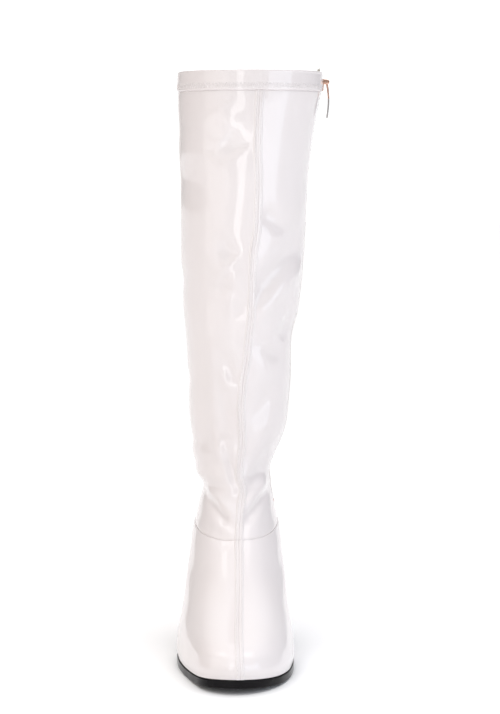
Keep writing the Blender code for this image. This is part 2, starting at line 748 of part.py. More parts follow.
def pin_mesh(at, centre, radius, half_length):
    """A round pin across the zip."""
    loops = []
    for across in (-half_length, half_length):
        ring = []
        for i in range(PIN_SIDES):
            angle = 2 * math.pi * (i + 0.5) / PIN_SIDES
            reach = math.cos(angle) * at.out + math.sin(angle) * at.up
            ring.append(centre + across * at.across + radius * reach)
        loops.append(np.array(ring))
    return stacked_loops("pin", loops, [(i, PIN_SIDES - 1 - i) for i in range(PIN_SIDES // 2)])


def slider_centre():
    return ZipPoint(row_of_height(BOOT_HEIGHT - SLIDER_BELOW_RIM - SLIDER_LENGTH / 2))


CHAIN_TOP = -WALL + CHAIN_THICKNESS
PLATE_OUT = (CHAIN_TOP + GAP, CHAIN_TOP + GAP + SLIDER_PLATE)
EYE_RADIUS = PIN_DIAMETER / 2 + GAP
EYE_RIM = EYE_RADIUS + EYE_WALL
PIN_OUT = PLATE_OUT[1] + EYE_RIM + PIN_CLEARANCE
PIN_UP = PIN_PLACE * SLIDER_LENGTH


def make_slider(material):
    """A channel over the chain with two lugs that carry the pull tab's pin."""
    at = slider_centre()
    half, inside = SLIDER_WIDTH / 2, CHAIN_WIDTH / 2 + GAP
    length = (-SLIDER_LENGTH / 2, SLIDER_LENGTH / 2)
    skirt = -WALL + GAP
    outline = [
        (-half, skirt), (-half, PLATE_OUT[1]), (half, PLATE_OUT[1]), (half, skirt),
        (inside, skirt), (inside, PLATE_OUT[0]), (-inside, PLATE_OUT[0]), (-inside, skirt),
    ]
    loops = [np.array([at.place(across, out, up) for across, out in outline]) for up in length]
    points = np.concatenate(loops)
    count = len(outline)
    faces = [(i, (i + 1) % count, count + (i + 1) % count, count + i) for i in range(count)]
    for base in (0, count):
        faces += [tuple(base + i for i in ring) for ring in ((0, 1, 6, 7), (1, 2, 5, 6), (2, 3, 4, 5))]
    body = new_object("zip_slider", mesh_from("zip_slider", points, faces), material)
    lug_in = half - LUG_THICKNESS
    lug_top = PIN_OUT + LUG_TOP * PIN_DIAMETER
    lug_up = (PIN_UP - LUG_REACH * PIN_DIAMETER, PIN_UP + LUG_REACH * PIN_DIAMETER)
    for side in (-1, 1):
        across = sorted((side * lug_in, side * half))
        lug = box_at(at, "lug", across, (PLATE_OUT[0] + GAP, lug_top), lug_up)
        join_solid(body, lug, f"lug_{'front' if side < 0 else 'back'}")
    pin = pin_mesh(at, at.place(0, PIN_OUT, PIN_UP), PIN_DIAMETER / 2, half - LUG_THICKNESS / 2)
    join_solid(body, pin, "pull_pin")
    return body


def make_pull(material):
    """The tab hangs straight down from its eye on the pin, and bows a little outwards."""
    at = slider_centre()
    pin = at.place(0, PIN_OUT, PIN_UP)
    down = np.array([0, 0, -1.0])
    across = at.across - down * at.across.dot(down)
    across /= np.linalg.norm(across)
    out = np.cross(across, down)
    out *= 1 if out.dot(at.out) > 0 else -1
    base = (EYE_RADIUS + EYE_RIM) / 2
    thick = PULL_THICKNESS / 2
    loops = []
    for share, neck, wide in PULL:
        half = neck * PULL_NECK / 2 + wide * PULL_WIDTH / 2
        drop = base + share * (PULL_LENGTH - base)
        bow = PULL_BOW * math.sin(math.pi * share)
        ring = [
            pin + down * drop + across * a + out * (bow + o)
            for a, o in ((-half, -thick), (half, -thick), (half, thick), (-half, thick))
        ]
        loops.append(np.array(ring))
    mesh = stacked_loops("zip_pull", loops, [(0, 3), (1, 2)])
    mesh.transform(translation(-pin))
    tab = new_object("zip_pull", mesh, material)
    tab.location = pin
    half = PULL_NECK / 2
    rings = []
    for reach, side in ((EYE_RIM, -half), (EYE_RIM, half), (EYE_RADIUS, half), (EYE_RADIUS, -half)):
        ring = []
        for i in range(EYE_SIDES):
            angle = 2 * math.pi * (i + 0.5) / EYE_SIDES
            ring.append(across * side + reach * (math.cos(angle) * out + math.sin(angle) * down))
        rings.append(ring)
    faces = []
    for level in range(len(rings)):
        low, high = level * EYE_SIDES, (level + 1) % len(rings) * EYE_SIDES
        for i in range(EYE_SIDES):
            j = (i + 1) % EYE_SIDES
            faces.append((low + i, low + j, high + j, high + i))
    collar = mesh_from("pull_eye", np.concatenate(rings), faces)
    collar.transform(translation(pin))
    join_solid(tab, collar, "pull_eye")
    return tab


def translation(vector):
    return mathutils.Matrix.Translation(tuple(vector))


def make_stop(name, at, across, up, material):
    return new_object(name, box_at(at, name, across, (-WALL, CHAIN_TOP), up), material)


def make_zip(materials):
    make_tape("zip_tape_front", -1, materials["tape"])
    make_tape("zip_tape_back", 1, materials["tape"])
    make_chain(materials["chain"])
    make_slider(materials["metal"])
    make_pull(materials["metal"])
    top = ZipPoint(TOP_ROW)
    high = (-STOP_LENGTH - TOP_STOP_DROP, -TOP_STOP_DROP)
    half = CHAIN_WIDTH / 2
    make_stop("zip_top_stop_front", top, (-half, -GAP), high, materials["metal"])
    make_stop("zip_top_stop_back", top, (GAP, half), high, materials["metal"])
    bottom = ZipPoint(ZIP_END_ROW)
    low = (BOTTOM_STOP_RISE, BOTTOM_STOP_RISE + BOTTOM_STOP_LENGTH)
    make_stop("zip_bottom_stop", bottom, (-half, half), low, materials["metal"])


def rest_on_origin():
    """Moves the finished boot so that its box stands centred on the origin."""
    bpy.context.view_layer.update()
    graph = bpy.context.evaluated_depsgraph_get()
    corners = []
    for obj in bpy.context.scene.objects:
        if obj.hide_render:
            continue
        mesh = obj.evaluated_get(graph).to_mesh()
        corners += [obj.matrix_world @ vertex.co for vertex in mesh.vertices]
        obj.evaluated_get(graph).to_mesh_clear()
    corners = np.array(corners)
    low, high = corners.min(axis=0), corners.max(axis=0)
    centre = (low + high) / 2
    for obj in bpy.context.scene.objects:
        obj.location.x -= centre[0]
        obj.location.y -= centre[1]
        obj.location.z -= low[2]


def main():
    for obj in list(bpy.data.objects):
        bpy.data.objects.remove(obj, do_unlink=True)
    materials = {name: new_material(name) for name in COLOURS}
    make_outsole(materials["outsole"])
    make_insole(materials["lining"])
    make_heel(materials["patent"])
    make_top_lift(materials["rubber"])
    make_upper(materials["patent"])
    make_zip(materials)
    rest_on_origin()


main()
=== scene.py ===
"""Looks of the go go boot: patent with folds and stitches, sole, heel, zip, light and camera."""

import functools
import math

import bmesh
import bpy
import numpy as np
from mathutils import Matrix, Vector


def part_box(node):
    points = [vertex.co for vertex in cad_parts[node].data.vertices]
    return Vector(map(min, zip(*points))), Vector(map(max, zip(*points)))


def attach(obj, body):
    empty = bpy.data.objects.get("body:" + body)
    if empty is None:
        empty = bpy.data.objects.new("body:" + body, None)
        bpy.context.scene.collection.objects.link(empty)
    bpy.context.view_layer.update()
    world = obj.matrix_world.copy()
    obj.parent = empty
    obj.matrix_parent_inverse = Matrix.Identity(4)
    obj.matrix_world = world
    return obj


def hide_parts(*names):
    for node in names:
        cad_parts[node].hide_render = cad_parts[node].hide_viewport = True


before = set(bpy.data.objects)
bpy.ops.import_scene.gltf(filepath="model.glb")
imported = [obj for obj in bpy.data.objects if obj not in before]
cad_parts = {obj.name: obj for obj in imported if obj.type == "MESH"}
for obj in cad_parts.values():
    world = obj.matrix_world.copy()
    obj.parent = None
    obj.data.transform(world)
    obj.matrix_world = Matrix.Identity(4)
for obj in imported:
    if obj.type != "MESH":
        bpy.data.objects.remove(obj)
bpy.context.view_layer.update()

MM = 0.001

# The boot's sizes, as its solids have them
FOOT_LENGTH = 236 * MM
BALL_WIDTH = 89 * MM
SEAT_WIDTH = 61 * MM
TOE_SPRING = 5 * MM
HEEL_HEIGHT = 75 * MM
INSTEP_HEIGHT = 90.5 * MM
ANKLE_HEIGHT = 126 * MM
ANKLE_WIDTH = 54.6 * MM
ANKLE_DEPTH = 97.5 * MM
BOOT_HEIGHT = 450 * MM
COLLAR_WIDTH = 112.6 * MM
COLLAR_DEPTH = 122.5 * MM
COLLAR_LEAN = 11 * MM
FOREFOOT_SWING = 8 * MM
SWING_PIVOT = 0.375
WALL = 1.3 * MM
GAP = 0.3 * MM
TREAD_THICKNESS = 6 * MM
SEAT_THICKNESS = 3 * MM
FEATHER_INSET = 1.2 * MM
FEATHER_GAP = 0.5 * MM
INSOLE_THICKNESS = 2 * MM
HEM_DEPTH = 15 * MM
HEM_STEP = 0.9 * MM
SEAM_STEP = 0.5 * MM
VAMP_STEP = 0.5 * MM
HEEL_INSET = 1 * MM
HEEL_BREAST = 58 * MM
HEEL_FOOT_LENGTH = 48 * MM
HEEL_FOOT_WIDTH = 51 * MM
HEEL_BACK_RAKE = 4 * MM
HEEL_CORNER = 4 * MM
TOP_LIFT_THICKNESS = 5.5 * MM
ZIP_END_HEIGHT = 108 * MM
SLOT_WIDTH = 7.2 * MM
TAPE_WIDTH = 11.5 * MM
TAPE_THICKNESS = 0.8 * MM
TAPE_ABOVE_RIM = 2.6 * MM
TAPE_BELOW_SLOT = 9 * MM
CHAIN_WIDTH = 5 * MM
CHAIN_THICKNESS = 1.7 * MM
SLIDER_LENGTH = 9.5 * MM
SLIDER_WIDTH = 6.6 * MM
SLIDER_PLATE = 1.2 * MM
SLIDER_BELOW_RIM = 5 * MM
PIN_DIAMETER = 1.5 * MM
EYE_WALL = 0.9 * MM
LUG_THICKNESS = 1 * MM
PULL_LENGTH = 28 * MM
PULL_WIDTH = 6.4 * MM
PULL_NECK = 3.4 * MM
PULL_THICKNESS = 1.6 * MM
PULL_BOW = 1.2 * MM
STOP_LENGTH = 3.2 * MM
BOTTOM_STOP_LENGTH = 3 * MM

OUTLINE_COLUMNS = ("along", "centre", "ball", "seat")
OUTLINE = (
    (0.000, 0.034, 0.000, 0.000),
    (0.008, 0.034, 0.190, 0.000),
    (0.025, 0.036, 0.370, 0.000),
    (0.065, 0.044, 0.570, 0.000),
    (0.125, 0.054, 0.728, 0.000),
    (0.180, 0.051, 0.826, 0.000),
    (0.255, 0.035, 0.924, 0.000),
    (0.335, 0.014, 0.985, 0.000),
    (0.400, -0.002, 1.000, 0.000),
    (0.465, -0.016, 0.948, 0.000),
    (0.550, -0.036, 0.785, 0.000),
    (0.655, -0.049, 0.000, 0.965),
    (0.760, -0.053, 0.000, 0.930),
    (0.860, -0.055, 0.000, 1.000),
    (0.935, -0.056, 0.000, 0.830),
    (0.980, -0.056, 0.000, 0.490),
    (1.000, -0.056, 0.000, 0.000),
)
PROFILE_COLUMNS = ("along", "toe_rise", "heel_rise", "body")
PROFILE = (
    (0.000, 1.00, 0.000, 1.0),
    (0.050, 0.66, 0.000, 1.0),
    (0.130, 0.26, 0.000, 1.0),
    (0.210, 0.05, 0.000, 1.0),
    (0.280, 0.00, 0.000, 1.0),
    (0.440, 0.00, 0.000, 1.0),
    (0.490, 0.00, 0.036, 0.9),
    (0.550, 0.00, 0.156, 0.6),
    (0.610, 0.00, 0.335, 0.3),
    (0.680, 0.00, 0.560, 0.1),
    (0.740, 0.00, 0.735, 0.0),
    (0.800, 0.00, 0.852, 0.0),
    (0.870, 0.00, 0.930, 0.0),
    (1.000, 0.00, 1.000, 0.0),
)
FOOT_COLUMNS = ("front", "front_up", "back", "back_up", "arch", "oval", "bulge", "seam")
FOOT = (
    (0.000, 0.000, 0.000, 0.000, 1.00, 0.00, 0.000, 0.058),
    (-0.005, 0.076, 0.007, 0.065, 0.94, 0.02, 0.010, 0.057),
    (0.011, 0.178, 0.011, 0.120, 0.85, 0.16, 0.004, 0.050),
    (0.051, 0.269, 0.013, 0.175, 0.73, 0.36, -0.014, 0.044),
    (0.122, 0.352, 0.014, 0.230, 0.58, 0.60, -0.036, 0.038),
    (0.213, 0.466, 0.014, 0.280, 0.42, 0.80, -0.058, 0.037),
    (0.309, 0.615, 0.013, 0.325, 0.28, 0.94, -0.082, 0.037),
    (0.397, 0.811, 0.012, 0.370, 0.16, 1.00, -0.098, 0.034),
    (0.469, 1.000, 0.010, 0.420, 0.06, 1.00, -0.116, 0.030),
    (0.521, 1.408, 0.006, 0.590, 0.00, 1.00, -0.142, 0.038),
    (0.553, 1.746, -0.001, 0.800, 0.00, 1.00, -0.166, 0.048),
)
VAMP_SEAM_ROW = 8
SHAFT_COLUMNS = ("up", "front", "back", "half", "lean", "seam")
SHAFT = (
    (0.000, 0.000, 0.00, 0.000, 0.00, 0.050),
    (0.036, -0.180, -0.14, 0.062, -0.26, 0.048),
    (0.075, -0.290, -0.24, 0.204, -0.21, 0.052),
    (0.106, -0.290, -0.22, 0.294, -0.03, 0.046),
    (0.150, -0.230, -0.12, 0.383, 0.12, 0.030),
    (0.200, -0.160, 0.02, 0.426, 0.16, 0.020),
    (0.260, -0.060, 0.18, 0.462, 0.20, 0.030),
    (0.345, 0.110, 0.48, 0.500, 0.14, 0.070),
    (0.420, 0.270, 0.72, 0.610, 0.28, 0.078),
    (0.495, 0.450, 0.92, 0.680, 0.40, 0.076),
    (0.568, 0.590, 1.04, 0.735, 0.42, 0.082),
    (0.645, 0.710, 1.12, 0.765, 0.47, 0.106),
    (0.740, 0.850, 1.12, 0.785, 0.55, 0.104),
    (0.812, 0.920, 1.12, 0.850, 0.60, 0.092),
    (0.861, 0.950, 1.10, 0.890, 0.70, 0.086),
    (0.908, 0.970, 1.08, 0.950, 0.80, 0.080),
    (0.957, 0.990, 1.04, 0.993, 0.94, 0.076),
    (1.000, 1.000, 1.00, 1.000, 1.00, 0.074),
)
SHAFT_FRONT = 135 * MM
SHAFT_BACK_REACH = 8 * MM
ZIP_LINE_COLUMNS = ("row", "along")
ZIP_LINE = (
    (0.0, 0.800),
    (11.0, 0.785),
    (18.0, 0.775),
    (28.0, 0.765),
)

# Fineness of the shown meshes
LOOP_SAMPLES = 480
FINE_ROW_COUNT = 28001
STEP_SAMPLES = 240
ZIP_END_SAMPLES = 60
NEAR_END_SAMPLES = 41
HEIGHT_SAMPLES = 400
FRONT_CELLS = 50
BACK_CELLS = 36
CELL_SPREAD = 1.12
VAMP_ROWS = 84
SHAFT_PLAIN_ROWS = 179
HEM_ROWS = 9
HEM_ROUND_ROWS = 6
SOLE_STATIONS = 110
STITCH_SIDES = 6
CORD_SIDES = 8

# Soft folds: the side they face, their height (below 0 for a trough), half width and line, all in
# millimetres. Places are across and up: across is from the ball's centre line to the inner side for
# front and back, and from the toe for inner and outer.
FOLD_COLUMNS = ("where", "depth", "width", "line")
FOLDS = (
    ("front", -2.6, 13.0, ((-12, 398), (-5, 392), (0, 384))),
    ("front", 1.2, 8.0, ((-16, 424), (-10, 416), (-2, 408))),
    ("front", -0.8, 4.0, ((-22, 392), (-18, 386))),
    ("front", -2.4, 7.0, ((18, 344), (28, 336), (40, 326))),
    ("front", -4.6, 10.0, ((50, 324), (36, 305), (23, 287), (11, 271))),
    ("front", 3.4, 6.5, ((54, 304), (39, 290), (24, 273), (11, 259))),
    ("front", -2.4, 7.0, ((46, 262), (38, 250), (30, 243))),
    ("front", -1.8, 8.0, ((12, 246), (24, 236), (34, 224))),
    ("front", -2.0, 6.5, ((-13, 320), (-7, 312), (0, 304))),
    ("front", 1.3, 4.2, ((-14, 296), (-6, 302), (2, 310))),
    ("front", -1.2, 5.0, ((-18, 284), (-8, 284), (0, 276))),
    ("front", 1.0, 4.5, ((0, 300), (-4, 284), (-6, 262))),
    ("front", -1.7, 5.0, ((-10, 230), (-6, 220), (-3, 208))),
    ("front", 1.0, 4.0, ((-13, 220), (-8, 210), (0, 204))),
    ("front", 1.1, 4.5, ((-21, 244), (-20, 215), (-18, 178))),
    ("front", -1.4, 5.5, ((-28, 205), (-28, 180), (-23, 158))),
    ("front", -1.2, 6.0, ((-12, 200), (-9, 180), (-7, 164))),
    ("front", 1.9, 4.6, ((-19, 170), (-12, 150), (-4, 128))),
    ("front", -2.2, 5.0, ((-11, 158), (-6, 142), (-1, 126))),
    ("front", -2.8, 5.0, ((-24, 119), (-18, 113), (-11, 107), (-4, 102))),
    ("front", 2.2, 4.4, ((-27, 129), (-17, 119), (-8, 111), (-1, 105))),
    ("front", 2.2, 4.4, ((27, 139), (18, 127), (10, 118), (3, 110))),
    ("front", -2.6, 5.0, ((26, 124), (18, 117), (10, 109), (4, 102))),
    ("front", -1.8, 5.5, ((25, 154), (16, 141), (8, 128))),
    ("front", 1.2, 6.0, ((29, 192), (18, 170), (10, 150))),
    ("front", -1.5, 7.0, ((31, 216), (22, 196), (12, 176))),
    ("front", -1.0, 5.0, ((-20, 96), (-10, 92), (-3, 86))),
    ("inner", -2.2, 8.0, ((150, 262), (176, 250), (204, 246))),
    ("inner", 1.4, 6.0, ((146, 280), (172, 268), (200, 262))),
    ("inner", -0.9, 6.0, ((162, 130), (176, 124), (196, 122))),
    ("inner", 0.6, 5.0, ((160, 142), (176, 138), (200, 136))),
    ("inner", -0.6, 6.0, ((160, 164), (174, 158), (192, 160))),
    ("outer", -0.9, 8.0, ((150, 300), (172, 288), (206, 290))),
    ("outer", -1.1, 6.0, ((150, 128), (172, 120), (200, 122))),
    ("outer", 1.4, 5.0, ((150, 142), (174, 134), (202, 136))),
    ("outer", -0.9, 7.5, ((144, 170), (170, 158), (204, 164))),
    ("outer", -0.9, 8.0, ((140, 222), (166, 206), (200, 212))),
    ("back", -1.8, 6.5, ((-22, 128), (0, 120), (20, 128))),
    ("back", 1.2, 5.0, ((-22, 142), (0, 134), (20, 142))),
    ("back", -1.4, 7.0, ((-24, 168), (2, 158), (24, 166))),
)


def column(table, names, name):
    return np.array([row[names.index(name)] for row in table], float)


class Curve:
    """A smooth curve through points, which keeps rising stretches rising and flat ones flat."""

    def __init__(self, xs, ys):
        self.xs, self.ys = np.asarray(xs, float), np.asarray(ys, float)
        self.step = np.diff(self.xs)
        slope = np.diff(self.ys) / self.step
        self.tangent = np.zeros(len(self.xs))
        self.tangent[0], self.tangent[-1] = slope[0], slope[-1]
        for i in range(1, len(self.xs) - 1):
            before, after = slope[i - 1], slope[i]
            if before * after > 0:
                wide = 2 * self.step[i] + self.step[i - 1]
                narrow = self.step[i] + 2 * self.step[i - 1]
                self.tangent[i] = (wide + narrow) / (wide / before + narrow / after)

    def __call__(self, at):
        at = np.clip(np.asarray(at, float), self.xs[0], self.xs[-1])
        i = np.clip(np.searchsorted(self.xs, at, side="right") - 1, 0, len(self.step) - 1)
        step, t = self.step[i], (at - self.xs[i]) / self.step[i]
        return (
            self.ys[i] * (1 + 2 * t) * (1 - t) ** 2
            + self.tangent[i] * step * t * (1 - t) ** 2
            + self.ys[i + 1] * t * t * (3 - 2 * t)
            - self.tangent[i + 1] * step * t * t * (1 - t)
        )


def turn(share):
    return np.arccos(np.clip(1 - 2 * np.asarray(share, float), -1, 1))


OUTLINE_TURN = turn(column(OUTLINE, OUTLINE_COLUMNS, "along"))
OUTLINE_CENTRE = Curve(OUTLINE_TURN, BALL_WIDTH * column(OUTLINE, OUTLINE_COLUMNS, "centre"))
OUTLINE_HALF = Curve(
    OUTLINE_TURN,
    BALL_WIDTH / 2 * column(OUTLINE, OUTLINE_COLUMNS, "ball")
    + SEAT_WIDTH / 2 * column(OUTLINE, OUTLINE_COLUMNS, "seat"),
)
PROFILE_ALONG = column(PROFILE, PROFILE_COLUMNS, "along")
UNDERSIDE = Curve(
    PROFILE_ALONG,
    TOE_SPRING * column(PROFILE, PROFILE_COLUMNS, "toe_rise")
    + HEEL_HEIGHT * column(PROFILE, PROFILE_COLUMNS, "heel_rise"),
)
THICKNESS = Curve(
    PROFILE_ALONG,
    SEAT_THICKNESS + (TREAD_THICKNESS - SEAT_THICKNESS) * column(PROFILE, PROFILE_COLUMNS, "body"),
)


def sole_edge(angle, side):
    return OUTLINE_CENTRE(angle) + side * OUTLINE_HALF(angle)


def sole_top(along):
    return UNDERSIDE(along) + THICKNESS(along)


def centre_line(y):
    return FOREFOOT_SWING * (SWING_PIVOT - y / FOOT_LENGTH)


def foot_rows():
    rows = {name: column(FOOT, FOOT_COLUMNS, name) for name in FOOT_COLUMNS}
    toe, heel = sole_top(0.0) + FEATHER_GAP, sole_top(1.0) + FEATHER_GAP
    return {
        "front_y": FEATHER_INSET + FOOT_LENGTH * rows["front"],
        "front_z": toe
        + np.minimum(rows["front_up"], 1) * (INSTEP_HEIGHT - toe)
        + np.maximum(rows["front_up"] - 1, 0) * (ANKLE_HEIGHT - INSTEP_HEIGHT),
        "back_y": FOOT_LENGTH * (1 + rows["back"]) - FEATHER_INSET,
        "back_z": heel + rows["back_up"] * (ANKLE_HEIGHT - heel),
        "arch": rows["arch"],
        "oval": rows["oval"],
        "half": BALL_WIDTH * (0.5 + rows["bulge"]) - FEATHER_INSET,
        "lean": np.zeros(len(FOOT)),
        "seam": BALL_WIDTH * rows["seam"],
    }


def shaft_rows():
    rows = {name: column(SHAFT, SHAFT_COLUMNS, name) for name in SHAFT_COLUMNS}
    height = ANKLE_HEIGHT + rows["up"] * (BOOT_HEIGHT - ANKLE_HEIGHT)
    reach = COLLAR_DEPTH - ANKLE_DEPTH - SHAFT_BACK_REACH
    return {
        "front_y": SHAFT_FRONT - rows["front"] * reach,
        "front_z": height,
        "back_y": SHAFT_FRONT + ANKLE_DEPTH + rows["back"] * SHAFT_BACK_REACH,
        "back_z": height,
        "arch": np.zeros(len(SHAFT)),
        "oval": np.ones(len(SHAFT)),
        "half": 0.5 * (ANKLE_WIDTH + rows["half"] * (COLLAR_WIDTH - ANKLE_WIDTH)),
        "lean": rows["lean"] * COLLAR_LEAN,
        "seam": COLLAR_WIDTH * rows["seam"],
    }


FOOT_ROWS = foot_rows()
SHAFT_ROWS = shaft_rows()
ROWS = {name: np.concatenate([FOOT_ROWS[name], SHAFT_ROWS[name]]) for name in FOOT_ROWS}
ROW_CURVES = {name: Curve(np.arange(len(values)), values) for name, values in ROWS.items()}
ZIP_CURVE = Curve(*(column(ZIP_LINE, ZIP_LINE_COLUMNS, name) for name in ZIP_LINE_COLUMNS))
TOP_ROW = len(FOOT) + len(SHAFT) - 1.0
FINE_ROWS = np.linspace(0, TOP_ROW, FINE_ROW_COUNT)
FINE_VALUES = {name: curve(FINE_ROWS) for name, curve in ROW_CURVES.items()}


def row_value(name, row):
    return float(np.interp(row, FINE_ROWS, FINE_VALUES[name]))


OVAL_POWER = 0.94
NORMAL_STEP = 0.02


def loop_points(row):
    """The loop of the last at a row, from its frontmost point round the inner side."""
    angle = np.linspace(0, 2 * math.pi, LOOP_SAMPLES, endpoint=False)
    side = np.where(angle <= math.pi, 1.0, -1.0)
    turned = np.where(angle <= math.pi, angle, 2 * math.pi - angle)
    share = (1 - np.cos(turned)) / 2
    front_y, back_y = row_value("front_y", row), row_value("back_y", row)
    y = front_y + share * (back_y - front_y)
    chord = row_value("front_z", row) + share * (row_value("back_z", row) - row_value("front_z", row))
    sole = sole_top(y / FOOT_LENGTH)
    front_sole, back_sole = sole_top(front_y / FOOT_LENGTH), sole_top(back_y / FOOT_LENGTH)
    z = chord + row_value("arch", row) * (sole - front_sole - share * (back_sole - front_sole))
    half = row_value("half", row)
    outline = sole_edge(turned, side) * half / (BALL_WIDTH / 2)
    oval = centre_line(y) + side * half * np.sin(turned) ** OVAL_POWER
    mix = row_value("oval", row)
    return np.stack([outline * (1 - mix) + oval * mix + row_value("lean", row), y, z], axis=1)


def loop_normals(row):
    low, high = max(row - NORMAL_STEP, 0), min(row + NORMAL_STEP, TOP_ROW)
    up = loop_points(high) - loop_points(low)
    points = loop_points(row)
    out = np.cross(np.roll(points, -1, axis=0) - np.roll(points, 1, axis=0), up)
    if row <= 0 or row >= TOP_ROW:
        out[:, 2] = 0
    return out / np.linalg.norm(out, axis=1, keepdims=True)


# Where the solids lie in the frame: the sole's corner gives the shift from the toe's own place
SHIFT_ANGLES = np.linspace(0, math.pi, 400)
SOLE_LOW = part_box("outsole")[0]
SHIFT = np.array([SOLE_LOW.x - float(sole_edge(SHIFT_ANGLES, -1).min()), SOLE_LOW.y, 0.0])


def smooth_step(value, low, high):
    t = np.clip((value - low) / (high - low), 0, 1)
    return t * t * (3 - 2 * t)


def soft_line(points, count=10):
    """A smooth line through a few points."""
    points = np.array(points, float)
    at = np.linspace(0, len(points) - 1, count)
    steps = np.arange(len(points))
    return np.stack([Curve(steps, points[:, i])(at) for i in range(2)], axis=1)


FOLD_LINES = [soft_line(fold[FOLD_COLUMNS.index("line")]) for fold in FOLDS]


def distance_to(line, across, up):
    """Distance of places to a line, and how far along it the nearest point lies, 0 to 1."""
    best = np.full(across.shape, 1e9)
    along = np.zeros(across.shape)
    count = len(line) - 1
    for i in range(count):
        a, b = line[i], line[i + 1]
        d = b - a
        t = np.clip(((across - a[0]) * d[0] + (up - a[1]) * d[1]) / (d @ d), 0, 1)
        away = np.hypot(across - a[0] - t * d[0], up - a[1] - t * d[1])
        closer = away < best
        best = np.where(closer, away, best)
        along = np.where(closer, (i + t) / count, along)
    return best, along


# A fold shows where the surface faces its side: the normal's axis and sign, and where it fades in
FACING = {"front": (1, -1), "back": (1, 1), "inner": (0, 1), "outer": (0, -1)}
FACING_RANGE = (0.05, 0.45)
FOLD_REACH = 3
FOLD_TAPER = (-0.02, 0.3)
FOLD_END = 0.35

# Faint slackness, as waves: height, turn across and up for each millimetre, and start
RIPPLES = (
    (0.22, 0.075, 0.050, 0.4),
    (0.16, -0.050, 0.085, 2.1),
    (0.12, 0.120, 0.030, 4.0),
    (0.10, 0.030, 0.140, 1.2),
)
SLACK_FROM = (110, 150)
SLACK_TO = (395, 430)
SLACK_LOSS = 0.75

# Where a seam holds the patent flat: the share of the folds that is lost, and how far it reaches
ZIP_CALM = (0.85, 12.0)
SEAM_CALM = (0.65, 4.5)

KEEL_HEIGHT = 1.5
KEEL_WIDTH = 13.0
KEEL_ROUNDING = 0.02
KEEL_FROM = (30, 100)
HEM_FROM = (424, 436)


def calmed(loss, reach, distance):
    return 1 - loss * np.exp(-((distance / MM / reach) ** 2))


def folds(points, normals, arcs, from_seam, from_zip):
    """How far the patent stands out of its plain form, in metres: folds, a keel and faint slackness."""
    up = points[..., 2] / MM
    total = np.zeros(up.shape)
    for (where, depth, width, _), line in zip(FOLDS, FOLD_LINES):
        axis, sign = FACING[where]
        across = points[..., 1 - axis] / MM
        reach = FOLD_REACH * width
        low, high = line.min(axis=0) - reach, line.max(axis=0) + reach
        near = (across > low[0]) & (across < high[0]) & (up > low[1]) & (up < high[1])
        if not near.any():
            continue
        away, along = distance_to(line, across[near], up[near])
        taper = smooth_step(along, *FOLD_TAPER) * smooth_step(1 - along, *FOLD_TAPER)
        facing = smooth_step(sign * normals[near][..., axis], *FACING_RANGE)
        shape = depth * np.exp(-((away / width) ** 2)) * facing
        total[near] += shape * (FOLD_END + (1 - FOLD_END) * taper)
    slack = smooth_step(up, *SLACK_FROM) * (1 - SLACK_LOSS * smooth_step(up, *SLACK_TO))
    for height, across_rate, up_rate, start in RIPPLES:
        total += height * slack * np.sin(across_rate * arcs / MM + up_rate * up + start)
    total *= calmed(*ZIP_CALM, from_zip) * calmed(*SEAM_CALM, from_seam)
    keel = KEEL_HEIGHT * smooth_step(up, *KEEL_FROM)
    total += keel * np.exp(-np.sqrt((from_seam / MM / KEEL_WIDTH) ** 2 + KEEL_ROUNDING))
    return total * (1 - smooth_step(up, *HEM_FROM)) * MM


def lengths_along(points):
    """Lengths from the first point along a line of points."""
    return np.concatenate([[0], np.cumsum(np.linalg.norm(np.diff(points, axis=0), axis=1))])


class Loop:
    """A loop of the upper, with lengths measured along it from its frontmost point."""

    def __init__(self, row):
        points, normals = loop_points(row), loop_normals(row)
        self.points = np.concatenate([points, points[:1]])
        self.normals = np.concatenate([normals, normals[:1]])
        self.arc = lengths_along(self.points)
        self.round = self.arc[-1]
        half = LOOP_SAMPLES // 2
        self.seam = row_value("seam", row)
        self.back = self.arc[half]
        along = FOOT_LENGTH * float(ZIP_CURVE(row))
        self.zip = float(np.interp(along, points[: half + 1, 1], self.arc[: half + 1]))
        lateral_y = points[half:, 1][::-1]
        self.mirror_zip = float(np.interp(along, lateral_y, self.arc[half:LOOP_SAMPLES][::-1]))

    def read(self, arcs):
        """Points and normals at lengths along the plain loop."""
        arcs = np.asarray(arcs, float) % self.round
        points = np.stack([np.interp(arcs, self.arc, self.points[:, i]) for i in range(3)], axis=-1)
        normals = np.stack([np.interp(arcs, self.arc, self.normals[:, i]) for i in range(3)], axis=-1)
        return points, normals / np.linalg.norm(normals, axis=-1, keepdims=True)

    def at(self, arcs, out=0.0):
        """Places on the folded patent, moved outwards by out, and the normals there."""
        points, normals = self.read(arcs)
        stand = self.stand(arcs, points, normals) + out
        return points + np.asarray(stand)[..., None] * normals, normals

    def stand(self, arcs, points, normals):
        """How far the patent stands out at lengths along the loop."""
        arcs = np.asarray(arcs, float)
        from_seam = (arcs - self.seam + self.round / 2) % self.round - self.round / 2
        return folds(points, normals, arcs, from_seam, arcs - self.zip)


@functools.lru_cache(None)
def loop_at(row):
    return Loop(row)


@functools.lru_cache(None)
def zip_place(row):
    """The zip line's point at a row."""
    points = loop_points(row)[: LOOP_SAMPLES // 2 + 1]
    along = FOOT_LENGTH * float(ZIP_CURVE(row))
    return np.array([np.interp(along, points[:, 1], points[:, i]) for i in range(3)])


@functools.lru_cache(None)
def seam_place(row):
    """The front seam's point at a row."""
    points = loop_points(row)[: LOOP_SAMPLES // 4]
    lengths = lengths_along(points)
    return np.array([np.interp(row_value("seam", row), lengths, points[:, i]) for i in range(3)])


